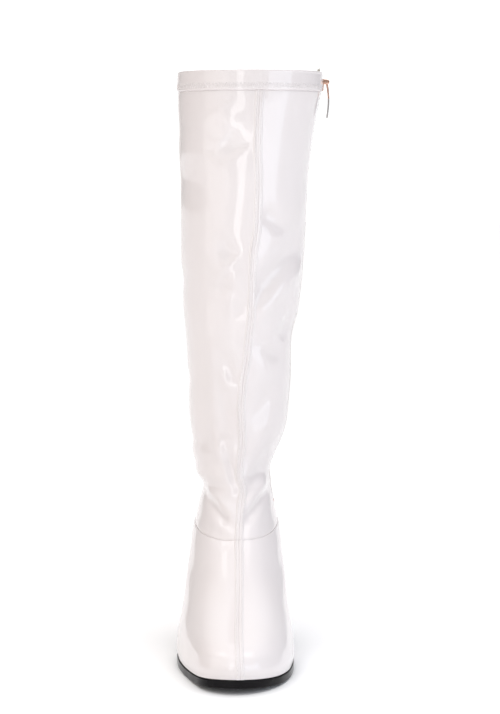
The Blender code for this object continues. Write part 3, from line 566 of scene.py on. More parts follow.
def even_rows(place, low, high, step):
    """Rows at even steps along a line that place gives for each row."""
    fine = np.linspace(low, high, STEP_SAMPLES)
    along = lengths_along([place(row) for row in fine])
    return np.interp(np.arange(0, along[-1], step), along, fine)


def lowest_zip_row():
    rows = np.linspace(VAMP_SEAM_ROW, len(FOOT) + 1, ZIP_END_SAMPLES)
    return float(np.interp(ZIP_END_HEIGHT, [zip_place(row)[2] for row in rows], rows))


def row_of_height(height):
    rows = np.linspace(len(FOOT), TOP_ROW, HEIGHT_SAMPLES)
    return float(np.interp(height, [row_value("front_z", row) for row in rows], rows))


ZIP_END_ROW = lowest_zip_row()
HEM_ROW = row_of_height(BOOT_HEIGHT - HEM_DEPTH)


# Each material: colour, roughness, further sockets, the scale and the two shades of the noise that its
# colour wanders on, and its reliefs, each with kind, scale, distance, strength and stretch along Z
MATERIALS = {
    "patent": (
        (0.725, 0.677, 0.668), 0.3,
        {"Coat Weight": 0.88, "Coat Roughness": 0.06, "Coat IOR": 1.55, "Specular IOR Level": 0.15},
        (9.0, (0.715, 0.667, 0.658), (0.735, 0.69, 0.683)),
        (("NOISE", 260.0, 0.00005, 0.35), ("NOISE", 42.0, 0.0003, 0.25)),
    ),
    "lining": (
        (0.74, 0.70, 0.64), 0.8, {"Sheen Weight": 0.3},
        (60.0, (0.70, 0.66, 0.60), (0.77, 0.73, 0.67)),
        (("WEAVE", 900.0, 0.0002, 0.5),),
    ),
    "sole_edge": (
        (0.006, 0.0055, 0.006), 0.14, {"Specular IOR Level": 0.1},
        (40.0, (0.004, 0.0035, 0.004), (0.009, 0.008, 0.009)),
        (("NOISE", 180.0, 0.0001, 0.3),),
    ),
    "tread": (
        (0.02, 0.02, 0.02), 0.55, {},
        (50.0, (0.016, 0.016, 0.016), (0.035, 0.034, 0.033)),
        (("CELLS", 700.0, 0.0003, 0.7),),
    ),
    "thread": (
        (0.80, 0.76, 0.75), 0.5, {"Sheen Weight": 0.3},
        (300.0, (0.76, 0.72, 0.71), (0.84, 0.80, 0.79)),
        (("WEAVE", 2600.0, 0.0001, 0.7),),
    ),
    "sock": (
        (0.76, 0.71, 0.64), 0.75, {"Sheen Weight": 0.2},
        (35.0, (0.72, 0.67, 0.60), (0.79, 0.745, 0.68)),
        (("CELLS", 500.0, 0.0002, 0.4),),
    ),
    "tape": (
        (0.82, 0.77, 0.68), 0.85, {"Sheen Weight": 0.4},
        (120.0, (0.78, 0.73, 0.64), (0.86, 0.81, 0.72)),
        (("WEAVE", 1400.0, 0.0002, 0.8, 1.6),),
    ),
    "coil": (
        (0.82, 0.79, 0.74), 0.35, {},
        (200.0, (0.78, 0.75, 0.70), (0.86, 0.83, 0.78)),
        (("NOISE", 1500.0, 0.00005, 0.4),),
    ),
    "rose_gold": (
        (0.66, 0.41, 0.31), 0.24, {"Metallic": 1.0},
        (150.0, (0.61, 0.37, 0.28), (0.71, 0.46, 0.36)),
        (("NOISE", 500.0, 0.00005, 0.4),),
    ),
    "grey_metal": (
        (0.36, 0.34, 0.33), 0.28, {"Metallic": 1.0},
        (150.0, (0.31, 0.29, 0.28), (0.42, 0.40, 0.39)),
        (("NOISE", 500.0, 0.00005, 0.4),),
    ),
}
SHADE_SPOTS = (0.35, 0.65)
SHADE_DETAIL = 3.0
RELIEF_DETAIL = 2.0
WEAVE_DISTORTION = 0.6


def shader(material):
    return material.node_tree.nodes["Principled BSDF"]


def new_material(name, colour, roughness, sockets):
    material = bpy.data.materials.new(name)
    material.use_nodes = True
    surface = shader(material)
    surface.inputs["Base Color"].default_value = (*colour, 1.0)
    surface.inputs["Roughness"].default_value = roughness
    for socket, value in sockets.items():
        surface.inputs[socket].default_value = value
    return material


def add_noise(material, scale, low, high):
    """Lets the colour wander between two shades on a soft noise."""
    tree = material.node_tree
    place = tree.nodes.new("ShaderNodeTexCoord")
    noise = tree.nodes.new("ShaderNodeTexNoise")
    noise.inputs["Scale"].default_value = scale
    noise.inputs["Detail"].default_value = SHADE_DETAIL
    ramp = tree.nodes.new("ShaderNodeValToRGB")
    for element, spot, shade in zip(ramp.color_ramp.elements, SHADE_SPOTS, (low, high)):
        element.position, element.color = spot, (*shade, 1)
    tree.links.new(place.outputs["Object"], noise.inputs["Vector"])
    tree.links.new(noise.outputs["Fac"], ramp.inputs["Fac"])
    tree.links.new(ramp.outputs["Color"], shader(material).inputs["Base Color"])


def add_bump(material, kind, scale, distance, strength, stretch=1.0):
    """Adds a fine relief, after any relief that the material already has."""
    tree = material.node_tree
    place = tree.nodes.new("ShaderNodeTexCoord")
    mapping = tree.nodes.new("ShaderNodeMapping")
    mapping.inputs["Scale"].default_value = (1, 1, stretch)
    if kind == "WEAVE":
        texture = tree.nodes.new("ShaderNodeTexWave")
        texture.wave_type = "BANDS"
        texture.bands_direction = "DIAGONAL"
        texture.inputs["Distortion"].default_value = WEAVE_DISTORTION
    elif kind == "CELLS":
        texture = tree.nodes.new("ShaderNodeTexVoronoi")
    else:
        texture = tree.nodes.new("ShaderNodeTexNoise")
        texture.inputs["Detail"].default_value = RELIEF_DETAIL
    out = texture.outputs["Distance" if kind == "CELLS" else "Fac"]
    texture.inputs["Scale"].default_value = scale
    bump = tree.nodes.new("ShaderNodeBump")
    bump.inputs["Distance"].default_value = distance
    bump.inputs["Strength"].default_value = strength
    tree.links.new(place.outputs["Object"], mapping.inputs["Vector"])
    tree.links.new(mapping.outputs["Vector"], texture.inputs["Vector"])
    tree.links.new(out, bump.inputs["Height"])
    normal = shader(material).inputs["Normal"]
    if normal.links:
        tree.links.new(normal.links[0].from_socket, bump.inputs["Normal"])
    tree.links.new(bump.outputs["Normal"], normal)


def make_material(name):
    colour, roughness, sockets, noise, reliefs = MATERIALS[name]
    material = new_material(name, colour, roughness, sockets)
    add_noise(material, *noise)
    for relief in reliefs:
        add_bump(material, *relief)
    return material


def mesh_object(name, points, faces, materials, face_materials=None, sharp=32):
    """A smooth-shaded object in the frame, from places measured from the toe."""
    mesh = bpy.data.meshes.new(name)
    points = np.asarray(points, float).reshape(-1, 3) + SHIFT
    mesh.from_pydata(points.tolist(), [], faces)
    for material in materials:
        mesh.materials.append(material)
    if face_materials is not None:
        mesh.polygons.foreach_set("material_index", np.asarray(face_materials, np.int32))
    mesh.update()
    work = bmesh.new()
    work.from_mesh(mesh)
    loose = [vertex for vertex in work.verts if not vertex.link_faces]
    bmesh.ops.delete(work, geom=loose, context="VERTS")
    bmesh.ops.recalc_face_normals(work, faces=work.faces)
    work.to_mesh(mesh)
    work.free()
    mesh.shade_smooth()
    mesh.set_sharp_from_angle(angle=math.radians(sharp))
    obj = bpy.data.objects.new(name, mesh)
    bpy.context.scene.collection.objects.link(obj)
    return obj


def add_piece(obj, body, slot, *nodes):
    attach(obj, body)
    if nodes:
        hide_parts(*nodes)


def walled(outer, inner, closed, gone=None):
    """Faces of a wall between two grids, and for each face 0 outside, 1 inside and 2 on an edge."""
    rows, columns = outer.shape[:2]
    shift = rows * columns
    across = columns if closed else columns - 1
    kept = np.ones((rows - 1, across), bool)
    if gone is not None:
        kept &= ~gone
    r, c = np.nonzero(kept)
    a, b = r * columns + c, r * columns + (c + 1) % columns
    d, e = a + columns, b + columns
    quads = [np.stack([a, b, e, d], 1), np.stack([a, d, e, b], 1) + shift]
    kinds = [np.zeros(len(r), int), np.ones(len(r), int)]
    padded = np.zeros((rows + 1, across + 2), bool)
    padded[1:-1, 1:-1] = kept
    if closed:
        padded[1:-1, 0], padded[1:-1, -1] = kept[:, -1], kept[:, 0]
    sides = (
        (~padded[r, c + 1], a, b),
        (~padded[r + 2, c + 1], e, d),
        (~padded[r + 1, c], d, a),
        (~padded[r + 1, c + 2], b, e),
    )
    for open_side, start, end in sides:
        start, end = start[open_side], end[open_side]
        quads.append(np.stack([start, start + shift, end + shift, end], 1))
        kinds.append(np.full(len(start), 2))
    points = np.concatenate([outer.reshape(-1, 3), inner.reshape(-1, 3)])
    return points, np.concatenate(quads).tolist(), np.concatenate(kinds)


# The front seam's cross-section from its middle: places along the patent, and relief there
SEAM_PLACES = np.array([0, 0.35, 0.8, 1.15, 1.7, 2.3, 2.75, 3.0, 3.2, 3.6]) * MM
SEAM_RELIEF = np.array([0.2, 0.9, 1.0, 0.75, 1.0, 1.0, 0.8, 0.45, 0.1, 0.0])
SEAM_END = 0.02
SLOT_EDGE = 0.5 * MM
SLOT_EDGE_DROP = 0.35 * MM
SLOT_COLUMN = len(SEAM_PLACES) + FRONT_CELLS

# Rows near an edge, as steps from the vamp seam's row or the hem's, and how far they stand out: in
# shares of the vamp's step, in millimetres and in shares of the hem's step
VAMP_EDGE = ((-0.03, 1.0), (-0.015, 0.9), (0.0, 0.3))
SHAFT_FOOT = ((-0.05, -0.6), (0.0, -0.6), (0.02, -0.45), (0.045, -0.2), (0.07, -0.05))
HEM_EDGE = (
    (-0.06, 0.0),
    (-0.035, -0.25),
    (-0.02, -0.2),
    (-0.01, 0.35),
    (0.0, 0.75),
    (0.012, 0.95),
    (0.03, 1.0),
)
SHAFT_PLAIN = (0.12, -0.1)
HEM_PLAIN = (0.12, -0.09)
RIM_TURN = math.radians(85)


def shell_arcs(loop):
    """Lengths of the shell's columns from the front seam round the inner side, and their relief."""
    start, end = loop.seam + SEAM_PLACES[-1], loop.round + loop.seam - SEAM_PLACES[-1]
    before, behind = loop.zip - SLOT_WIDTH / 2, loop.zip + SLOT_WIDTH / 2
    front = np.linspace(0, 1, FRONT_CELLS + 1) ** CELL_SPREAD
    back = np.linspace(0, 1, BACK_CELLS + 1)
    arcs = np.concatenate([
        loop.seam + SEAM_PLACES[:-1],
        start + front[:-1] * (before - SLOT_EDGE - start),
        [before - SLOT_EDGE, before, behind, behind + SLOT_EDGE],
        behind + SLOT_EDGE + back[1:] * (loop.back - behind - SLOT_EDGE),
        loop.back + back[1:] * (loop.mirror_zip - loop.back),
        end - front[::-1][1:] * (end - loop.mirror_zip),
        loop.round + loop.seam - SEAM_PLACES[:0:-1][1:],
    ])
    relief = np.zeros(len(arcs))
    relief[: len(SEAM_PLACES)] = SEAM_RELIEF
    relief[-(len(SEAM_PLACES) - 2):] = SEAM_RELIEF[:0:-1][1:]
    return arcs, relief


def shell_grid(rows, base, rim=None):
    """Outer and inner faces of the upper for some rows.

    Base is how far each row stands out, and rim has the turn of each row that rounds the rim.
    """
    outer, inner = [], []
    radius, middle = (HEM_STEP + WALL) / 2, (HEM_STEP - WALL) / 2
    for i, row in enumerate(rows):
        loop = loop_at(row)
        arcs, relief = shell_arcs(loop)
        top = base[i] + SEAM_STEP * relief * (row < HEM_ROW - SEAM_END)
        if row > ZIP_END_ROW:
            top[SLOT_COLUMN : SLOT_COLUMN + 2] -= SLOT_EDGE_DROP
        low, lift = np.full(len(arcs), -WALL), 0.0
        if rim is not None and rim[i] is not None:
            top = np.full(len(arcs), middle + radius * math.cos(rim[i]))
            low = np.full(len(arcs), middle - radius * math.cos(rim[i]))
            lift = -radius * (1 - math.sin(rim[i]))
        points, normals = loop.read(arcs)
        fold = loop.stand(arcs, points, normals)
        for grid, out in ((outer, top), (inner, low)):
            place = points + (fold + out)[:, None] * normals
            place[:, 2] += lift
            grid.append(place)
    return np.array(outer), np.array(inner)


def add_shell(name, grids, gone, materials):
    points, faces, kinds = walled(*grids, True, gone)
    obj = mesh_object(name, points, faces, materials, kinds == 1)
    add_piece(obj, "boot", "patent", "upper")


def make_vamp(materials):
    """The foot of the boot, whose top edge lies over the shaft."""
    edge = np.array(VAMP_EDGE)
    plain = np.linspace(0, VAMP_SEAM_ROW, VAMP_ROWS)[:-1]
    rows = np.concatenate([plain, VAMP_SEAM_ROW + edge[:, 0]])
    base = np.concatenate([np.ones(len(plain)), edge[:, 1]]) * VAMP_STEP
    add_shell("vamp", shell_grid(rows, base), None, materials)


def make_shaft(materials):
    """The shaft with its hem, seam and slot, down to just under the vamp's edge."""
    foot, hem = np.array(SHAFT_FOOT), np.array(HEM_EDGE)
    plain = np.linspace(VAMP_SEAM_ROW + SHAFT_PLAIN[0], HEM_ROW + SHAFT_PLAIN[1], SHAFT_PLAIN_ROWS)
    above = np.linspace(HEM_ROW + HEM_PLAIN[0], TOP_ROW + HEM_PLAIN[1], HEM_ROWS)
    above = np.concatenate([above, np.full(HEM_ROUND_ROWS, TOP_ROW)])
    rows = np.concatenate([VAMP_SEAM_ROW + foot[:, 0], plain, HEM_ROW + hem[:, 0], above])
    parts = (foot[:, 1] * MM, np.zeros(len(plain)), hem[:, 1] * HEM_STEP, np.full(len(above), HEM_STEP))
    rim = [None] * (len(rows) - HEM_ROUND_ROWS) + list(np.linspace(0, RIM_TURN, HEM_ROUND_ROWS))
    grids = shell_grid(rows, np.concatenate(parts), rim)
    gone = np.zeros((len(rows) - 1, grids[0].shape[1]), bool)
    gone[rows[:-1] >= ZIP_END_ROW, SLOT_COLUMN + 1] = True
    add_shell("shaft", grids, gone, materials)


# Any direction that no tube in the part runs along
TUBE_SIDE = np.array([0.31, 0.52, 0.79])


def tube_rings(path, radius, sides):
    """Rings of a round tube along a path."""
    path = np.asarray(path, float)
    ahead = np.gradient(path, axis=0)
    ahead /= np.linalg.norm(ahead, axis=1, keepdims=True)
    side = np.cross(ahead, TUBE_SIDE)
    side /= np.linalg.norm(side, axis=1, keepdims=True)
    other = np.cross(ahead, side)
    angle = np.linspace(0, 2 * math.pi, sides, endpoint=False)[None, :, None]
    ring = np.cos(angle) * side[:, None] + np.sin(angle) * other[:, None]
    return path[:, None] + np.asarray(radius, float).reshape(-1, 1, 1) * ring


def ring_mesh(stacks):
    """Points and faces of stacks of rings, each closed by a face at both ends."""
    points, faces, start = [], [], 0
    for rings in stacks:
        rings = np.asarray(rings)
        count, sides = rings.shape[:2]
        points.append(rings.reshape(-1, 3))
        end = start + (count - 1) * sides
        for low in range(start, end, sides):
            for i in range(sides):
                j = (i + 1) % sides
                faces.append((low + i, low + j, low + sides + j, low + sides + i))
        faces.append(tuple(range(start, start + sides))[::-1])
        faces.append(tuple(range(end, end + sides)))
        start = end + sides
    return np.concatenate(points), faces


def ring_object(name, stacks, material, sharp=60):
    return mesh_object(name, *ring_mesh(stacks), [material], sharp=sharp)


STITCH_PITCH = 2.9 * MM
STITCH_RADIUS = 0.19 * MM
STITCH_ROWS = (-1.9 * MM, 1.9 * MM)
STITCH_GAP = 0.1
STITCH_FROM_SLOT = 2.2 * MM
SLOT_STITCH_SINK = 0.1 * MM
ZIGZAG_PITCH = 2.8 * MM
ZIGZAG_LOW = 1.2 * MM
ZIGZAG_HIGH = 5.6 * MM
ZIGZAG_THREAD = 0.8
TOPSTITCH_ROWS = (0.25, -0.05)
SLOT_STITCH_TOP = 0.9

# A stitch from hole to hole: share of its length, height and thickness in radii
STITCH_SHAPE = np.array([
    (0.0, -0.7, 0.75),
    (0.18, 0.45, 1),
    (0.5, 0.75, 1),
    (0.82, 0.45, 1),
    (1.0, -0.7, 0.75),
])


def stitch(start, end, normal_start, normal_end, radius, sink=0.0):
    """A thread from hole to hole, proud in its middle."""
    share, high, thick = STITCH_SHAPE.T[:, :, None]
    normals = normal_start + (normal_end - normal_start) * share
    path = start + (end - start) * share + normals * (high * radius - sink)
    return tube_rings(path, radius * thick, STITCH_SIDES)


def stitch_lines(rows, line, offsets, lift, sink=0.0):
    """Stitches from row to row, at offsets from the length that line gives along each loop."""
    tubes = []
    loops = [loop_at(row) for row in rows]
    for row, loop, following in zip(rows, loops, loops[1:]):
        for offset in offsets:
            start, start_normal = loop.at(line(loop) + offset, lift(row))
            end, end_normal = following.at(line(following) + offset, lift(row))
            gap = (end - start) * STITCH_GAP
            tubes.append(stitch(start + gap, end - gap, start_normal, end_normal, STITCH_RADIUS, sink))
    return tubes


def make_topstitch(thread):
    """Two rows of stitches along the front seam, from the toe to the hem."""
    rows = even_rows(seam_place, TOPSTITCH_ROWS[0], HEM_ROW + TOPSTITCH_ROWS[1], STITCH_PITCH)
    tubes = stitch_lines(rows, lambda loop: loop.seam, STITCH_ROWS,
                         lambda row: SEAM_STEP + (VAMP_STEP if row < VAMP_SEAM_ROW else 0))
    add_piece(ring_object("front_topstitch", tubes, thread), "boot", "patent")


def make_zigzag(thread):
    """The hem's zigzag, from one side of the zip round to the other."""
    low = Loop(row_of_height(BOOT_HEIGHT - HEM_DEPTH + ZIGZAG_LOW))
    high = Loop(row_of_height(BOOT_HEIGHT - HEM_DEPTH + ZIGZAG_HIGH))
    clear = SLOT_WIDTH / 2 + STITCH_FROM_SLOT
    span = low.round - 2 * clear
    count = 2 * int(round(span / ZIGZAG_PITCH))
    tubes = []
    for i in range(count):
        ends = []
        for j in (i, i + 1):
            loop = high if j % 2 else low
            arc = loop.zip + (clear + span * j / count) * loop.round / low.round
            ends.append(loop.at(arc, HEM_STEP))
        (start, start_normal), (end, end_normal) = ends
        tubes.append(stitch(start, end, start_normal, end_normal, STITCH_RADIUS * ZIGZAG_THREAD))
    add_piece(ring_object("hem_zigzag", tubes, thread), "boot", "patent")


def make_slot_stitch(thread):
    """A row of stitches down each side of the zip, holding it to the patent."""
    rows = even_rows(zip_place, ZIP_END_ROW, HEM_ROW + SLOT_STITCH_TOP, STITCH_PITCH)
    offset = SLOT_WIDTH / 2 + STITCH_FROM_SLOT
    tubes = stitch_lines(rows, lambda loop: loop.zip, (-offset, offset),
                         lambda row: HEM_STEP if row > HEM_ROW else 0.0, SLOT_STITCH_SINK)
    add_piece(ring_object("zip_topstitch", tubes, thread), "boot", "patent")


# The sole's outline, and the roundings of its edges and the top lift's: radius and loops
SOLE_TURN = 2 * SOLE_STATIONS - 2
SOLE_ANGLES = np.linspace(0, math.pi, SOLE_STATIONS)
SOLE_PAIRS = [(i, (SOLE_TURN - i) % SOLE_TURN) for i in range(SOLE_STATIONS)]
OUTSOLE_FOOT_ROUND = (0.9 * MM, 5)
OUTSOLE_TOP_ROUND = (0.7 * MM, 5)
LIFT_FOOT_ROUND = (0.5 * MM, 4)
LIFT_TOP_ROUND = (0.3 * MM, 3)

# The insole's loops: how far in from its edge, and the height above the sole
INSOLE_INSET = FEATHER_INSET + WALL + 3 * GAP
INSOLE_LOOPS = (
    (0, GAP),
    (0, GAP + INSOLE_THICKNESS - 0.6 * MM),
    (0.2 * MM, GAP + INSOLE_THICKNESS - 0.2 * MM),
    (0.6 * MM, GAP + INSOLE_THICKNESS),
)


def sole_loop(inset, surface, height):
    """The sole's outline drawn in by inset, at a height above a surface of the sole."""
    share = (1 - np.cos(SOLE_ANGLES)) / 2
    medial, lateral = (
        np.column_stack([sole_edge(SOLE_ANGLES, side), FOOT_LENGTH * share]) for side in (1, -1)
    )
    edge = np.concatenate([medial, lateral[-2:0:-1]])
    along = np.roll(edge, -1, axis=0) - np.roll(edge, 1, axis=0)
    out = np.stack([along[:, 1], -along[:, 0]], axis=1)
    out /= np.linalg.norm(out, axis=1, keepdims=True)
    edge = edge - inset * out
    return np.column_stack([edge, surface(edge[:, 1] / FOOT_LENGTH) + height])


def stacked(loops, pairs):
    """Faces of stacked loops closed by strips, and for each face its level, -1 below and -2 above."""
    count = len(loops[0])
    faces, levels = [], []
    for level in range(len(loops) - 1):
        low, high = level * count, (level + 1) * count
        for i in range(count):
            j = (i + 1) % count
            faces.append((low + i, low + j, high + j, high + i))
            levels.append(level)
    for base, mark in ((0, -1), ((len(loops) - 1) * count, -2)):
        for (a, b), (c, d) in zip(pairs, pairs[1:]):
            faces.append(tuple(dict.fromkeys((base + a, base + b, base + d, base + c))))
            levels.append(mark)
    return np.concatenate(loops), faces, np.array(levels)


def rounded_edge(radius, steps, upwards):
    """(inset, height) pairs of a rounded edge from its flat face to its side, or back."""
    turned = np.linspace(0, math.pi / 2, steps)
    pairs = [(radius * (1 - math.sin(t)), radius * (1 - math.cos(t))) for t in turned]
    return pairs if upwards else [(inset, -height) for inset, height in pairs][::-1]


def stacked_object(name, loops, pairs, materials, sharp):
    """A body of stacked loops, whose lower face has the last material."""
    points, faces, levels = stacked(loops, pairs)
    return mesh_object(name, points, faces, materials, (levels == -1) * (len(materials) - 1), sharp)


def make_outsole(edge, tread):
    """The outsole, with a rounded edge at its tread and at its top."""
    low, high = rounded_edge(*OUTSOLE_FOOT_ROUND, True), rounded_edge(*OUTSOLE_TOP_ROUND, False)
    loops = [sole_loop(inset, UNDERSIDE, height) for inset, height in low]
    loops += [sole_loop(inset, sole_top, height) for inset, height in high]
    obj = stacked_object("outsole_skin", loops, SOLE_PAIRS, [edge, tread], sharp=40)
    add_piece(obj, "boot", "outsole", "outsole")


def make_insole(sock):
    loops = [sole_loop(INSOLE_INSET + inset, sole_top, height) for inset, height in INSOLE_LOOPS]
    obj = stacked_object("insole_sock", loops, SOLE_PAIRS, [sock], sharp=40)
    add_piece(obj, "boot", "insole", "insole")


# The heel's section, in shares of its length: the breast's corners, the straight sides, the round back
CORNER_POINTS = 9
CORNER_SPREAD = 1.6
SIDE_POINTS = 6
BACK_FROM = 0.35
BACK_POINTS = 30
BACK_ROUND = 0.62
BACK_POWER = 2.6
HEEL_CENTRE = 0.88

# Shares of the heel's height, and the rounding near its foot and its top
HEEL_LEVELS = np.concatenate([[0, 0.003, 0.008, 0.016], np.linspace(0.05, 0.97, 26), [0.985, 1.0]])
HEEL_FOOT_EDGE = 0.016
HEEL_FOOT_ROUND = 0.7 * MM
HEEL_TOP_EDGE = 0.985
HEEL_TOP_ROUND = 0.6 * MM


def heel_section(level, inset=0.0):
    """The heel's outline at a share of its height, from one corner of the breast round the back."""
    back = FOOT_LENGTH - HEEL_INSET - HEEL_BACK_RAKE * (1 - level) - inset
    length = HEEL_FOOT_LENGTH + (HEEL_BREAST - HEEL_INSET - HEEL_FOOT_LENGTH) * level - 2 * inset
    width = HEEL_FOOT_WIDTH + (SEAT_WIDTH - 2 * HEEL_INSET - HEEL_FOOT_WIDTH) * level - 2 * inset
    corners = np.linspace(0, 1, CORNER_POINTS)[1:] ** CORNER_SPREAD * HEEL_CORNER / length
    sides = np.linspace(corners[-1], BACK_FROM, SIDE_POINTS)[1:]
    behind = np.sin(np.linspace(0, math.pi / 2, BACK_POINTS))[1:]
    shares = np.concatenate([[0], corners, sides, BACK_FROM + (1 - BACK_FROM) * behind])
    y = back - length + length * shares
    rounded = BACK_ROUND * length
    full = 1 - np.clip((y - back + rounded) / rounded, 0, 1) ** BACK_POWER
    half = width / 2 * np.maximum(full, 0) ** 0.5
    corner = np.clip(HEEL_CORNER - (y - back + length), 0, HEEL_CORNER)
    half = half - HEEL_CORNER + np.sqrt(HEEL_CORNER**2 - corner**2)
    half[-1] = 0
    centre = centre_line(HEEL_CENTRE * FOOT_LENGTH)
    inner, outer = np.column_stack([centre + half, y]), np.column_stack([centre - half, y])
    return np.concatenate([inner, outer[-2::-1]])


def heel_pairs(count):
    return [(i, count - 1 - i) for i in range(count // 2 + 1)]


def make_heel(patent):
    """The covered block, with a rounded edge at its foot and a small one under the sole."""
    foot = TOP_LIFT_THICKNESS + GAP
    loops = []
    for level in HEEL_LEVELS:
        low = 1 - min(level / HEEL_FOOT_EDGE, 1)
        high = max(level - HEEL_TOP_EDGE, 0) / (1 - HEEL_TOP_EDGE)
        section = heel_section(level, HEEL_FOOT_ROUND * low**2 + HEEL_TOP_ROUND * high)
        top = UNDERSIDE(section[:, 1] / FOOT_LENGTH) - GAP
        loops.append(np.column_stack([section, foot + (top - foot) * level]))
    obj = stacked_object("heel_cover", loops, heel_pairs(len(loops[0])), [patent], sharp=50)
    add_piece(obj, "boot", "patent", "heel")


def make_top_lift(edge, tread):
    """The wearing piece under the heel."""
    rounds = rounded_edge(*LIFT_FOOT_ROUND, True)
    for inset, height in rounded_edge(*LIFT_TOP_ROUND, False):
        rounds.append((inset, TOP_LIFT_THICKNESS + height))
    loops = []
    for inset, height in rounds:
        section = heel_section(0.0, inset)
        loops.append(np.column_stack([section, np.full(len(section), height)]))
    obj = stacked_object("top_lift_skin", loops, heel_pairs(len(loops[0])), [edge, tread], sharp=40)
    add_piece(obj, "boot", "top_lift", "heel_top_lift")


ZIP_ROW_STEP = 0.05


class ZipPoint:
    """The zip line at one row, with directions up the zip, across it and out of the boot."""

    def __init__(self, row):
        loop = loop_at(row)
        self.point, normal = loop.read(loop.zip)
        up = zip_place(min(row + ZIP_ROW_STEP, TOP_ROW)) - zip_place(max(row - ZIP_ROW_STEP, 0))
        self.up = up / np.linalg.norm(up)
        out = normal - self.up * normal.dot(self.up)
        self.out = out / np.linalg.norm(out)
        self.across = np.cross(self.up, self.out)
        self.fold = float(loop.stand([loop.zip], self.point[None], normal[None])[0])

    def place(self, across, out, up=0.0):
        return self.point + across * self.across + (out + self.fold) * self.out + up * self.up


def zip_line(bottom, top, step):
    return even_rows(zip_place, bottom, top, step)


def row_above_zip_end(length):
    """The row at a length along the zip from the slot's lower end."""
    rows = np.linspace(ZIP_END_ROW - 1, ZIP_END_ROW + 1, NEAR_END_SAMPLES)
    along = lengths_along([zip_place(row) for row in rows])
    return float(np.interp(length + along[len(rows) // 2], along, rows))


TAPE_COLUMNS = 9
TAPE_STEP = 2.2 * MM
COIL_PITCH = 1.45 * MM
COIL_RADIUS = 0.42 * MM
COIL_BULGE = 0.1 * MM
COIL_LEAN = 0.1 * MM
COIL_THICKNESS = np.array([0.8, 1, 1, 1.1, 0.9])
CORD_STEP = 4 * MM
CORD_RADIUS = 0.45 * MM
CORD_PLACE = 0.72
BOTTOM_STOP_LIFT = 0.6 * MM
TOP_STOP_DROP = 0.4 * MM


def make_tape(name, side, material):
    """A woven tape behind the patent, which ends above the rim."""
    arcs = side * np.linspace(GAP, TAPE_WIDTH, TAPE_COLUMNS)
    rows = [*zip_line(row_above_zip_end(-TAPE_BELOW_SLOT), TOP_ROW, TAPE_STEP), TOP_ROW]
    grids = []
    for out in (-WALL - GAP, -WALL - GAP - TAPE_THICKNESS):
        grid = []
        for row in rows:
            loop = loop_at(row)
            grid.append(loop.at(loop.zip + arcs, out)[0])
        top = grid[-1]
        grid += [top + np.array([0, 0, above]) for above in (TAPE_ABOVE_RIM * 0.5, TAPE_ABOVE_RIM)]
        grids.append(np.array(grid))
    points, faces, _ = walled(*grids, False)
    add_piece(mesh_object(name + "_cloth", points, faces, [material]), "boot", "tape", name)


def make_coil(material, thread):
    """The closed coils: turns that reach in from each side in turn, with a sewing cord on each side."""
    base, high = -WALL, -WALL + CHAIN_THICKNESS
    top = row_of_height(BOOT_HEIGHT - SLIDER_BELOW_RIM + GAP)
    start = row_above_zip_end(BOTTOM_STOP_LIFT + BOTTOM_STOP_LENGTH + GAP)
    half = CHAIN_WIDTH / 2 - COIL_RADIUS
    turns = []
    for i, row in enumerate(zip_line(start, top, COIL_PITCH)):
        at = ZipPoint(row)
        side = 1 if i % 2 else -1
        path = [
            at.place(side * half, base + COIL_RADIUS),
            at.place(side * (half + COIL_BULGE), (base + high) / 2),
            at.place(side * half * 0.8, high - COIL_RADIUS),
            at.place(0, high - COIL_RADIUS * 0.85, COIL_LEAN),
            at.place(-side * half * 0.55, high - COIL_RADIUS * 1.1),
        ]
        turns.append(tube_rings(path, COIL_RADIUS * COIL_THICKNESS, CORD_SIDES))
    add_piece(ring_object("zip_coil", turns, material), "boot", "chain", "zip_chain")
    cords = []
    rows = zip_line(start, top, CORD_STEP)
    for side in (-1, 1):
        path = [ZipPoint(row).place(side * half * CORD_PLACE, base + CORD_RADIUS) for row in rows]
        cords.append(tube_rings(path, CORD_RADIUS, CORD_SIDES))
    add_piece(ring_object("zip_coil_cord", cords, thread), "boot", "chain")


def superellipse(half_width, half_height, count, power=4.0):
    """A closed ring between a rectangle and an ellipse."""
    angle = np.linspace(0, 2 * math.pi, count, endpoint=False)
    x = half_width * np.sign(np.cos(angle)) * np.abs(np.cos(angle)) ** (2 / power)
    y = half_height * np.sign(np.sin(angle)) * np.abs(np.sin(angle)) ** (2 / power)
    return np.stack([x, y], axis=1)


CHAIN_TOP = -WALL + CHAIN_THICKNESS
PLATE_OUT = (CHAIN_TOP + GAP, CHAIN_TOP + GAP + SLIDER_PLATE)
EYE_RADIUS = PIN_DIAMETER / 2 + GAP
EYE_RIM = EYE_RADIUS + EYE_WALL
PIN_OUT = PLATE_OUT[1] + EYE_RIM + 1.5 * GAP
PIN_UP = 0.26 * SLIDER_LENGTH


# The slider's plate from its lower end: place in half lengths, and shares of width and thickness
PLATE_RINGS = (
    (-1, 0.55, 0.55),
    (-0.94, 0.72, 0.85),
    (-0.8, 0.84, 1),
    (-0.3, 0.9, 1),
    (0.2, 0.97, 1),
    (0.7, 1, 1),
    (0.92, 0.93, 0.85),
    (1, 0.8, 0.55),
)
PLATE_SIDES = 20
SKIRT_RINGS = (-0.82, -0.74, 0.78, 0.86)
SKIRT_SIDES = 12
SKIRT_OUT = (-WALL + GAP, PLATE_OUT[1])
SKIRT_HALF = (0.28 * MM, (SKIRT_OUT[1] - SKIRT_OUT[0]) / 2 - 0.1 * MM)
SKIRT_INSET = 0.3 * MM
LUG_OUT = (PLATE_OUT[0] + GAP, PIN_OUT + PIN_DIAMETER * 0.8)
LUG_RINGS = 7
LUG_SIDES = 14
LUG_REACH = 1.3 * PIN_DIAMETER
LUG_ROUND_FROM = 0.6
LUG_ROUND_LENGTH = 0.42
LUG_LEAST = 0.03
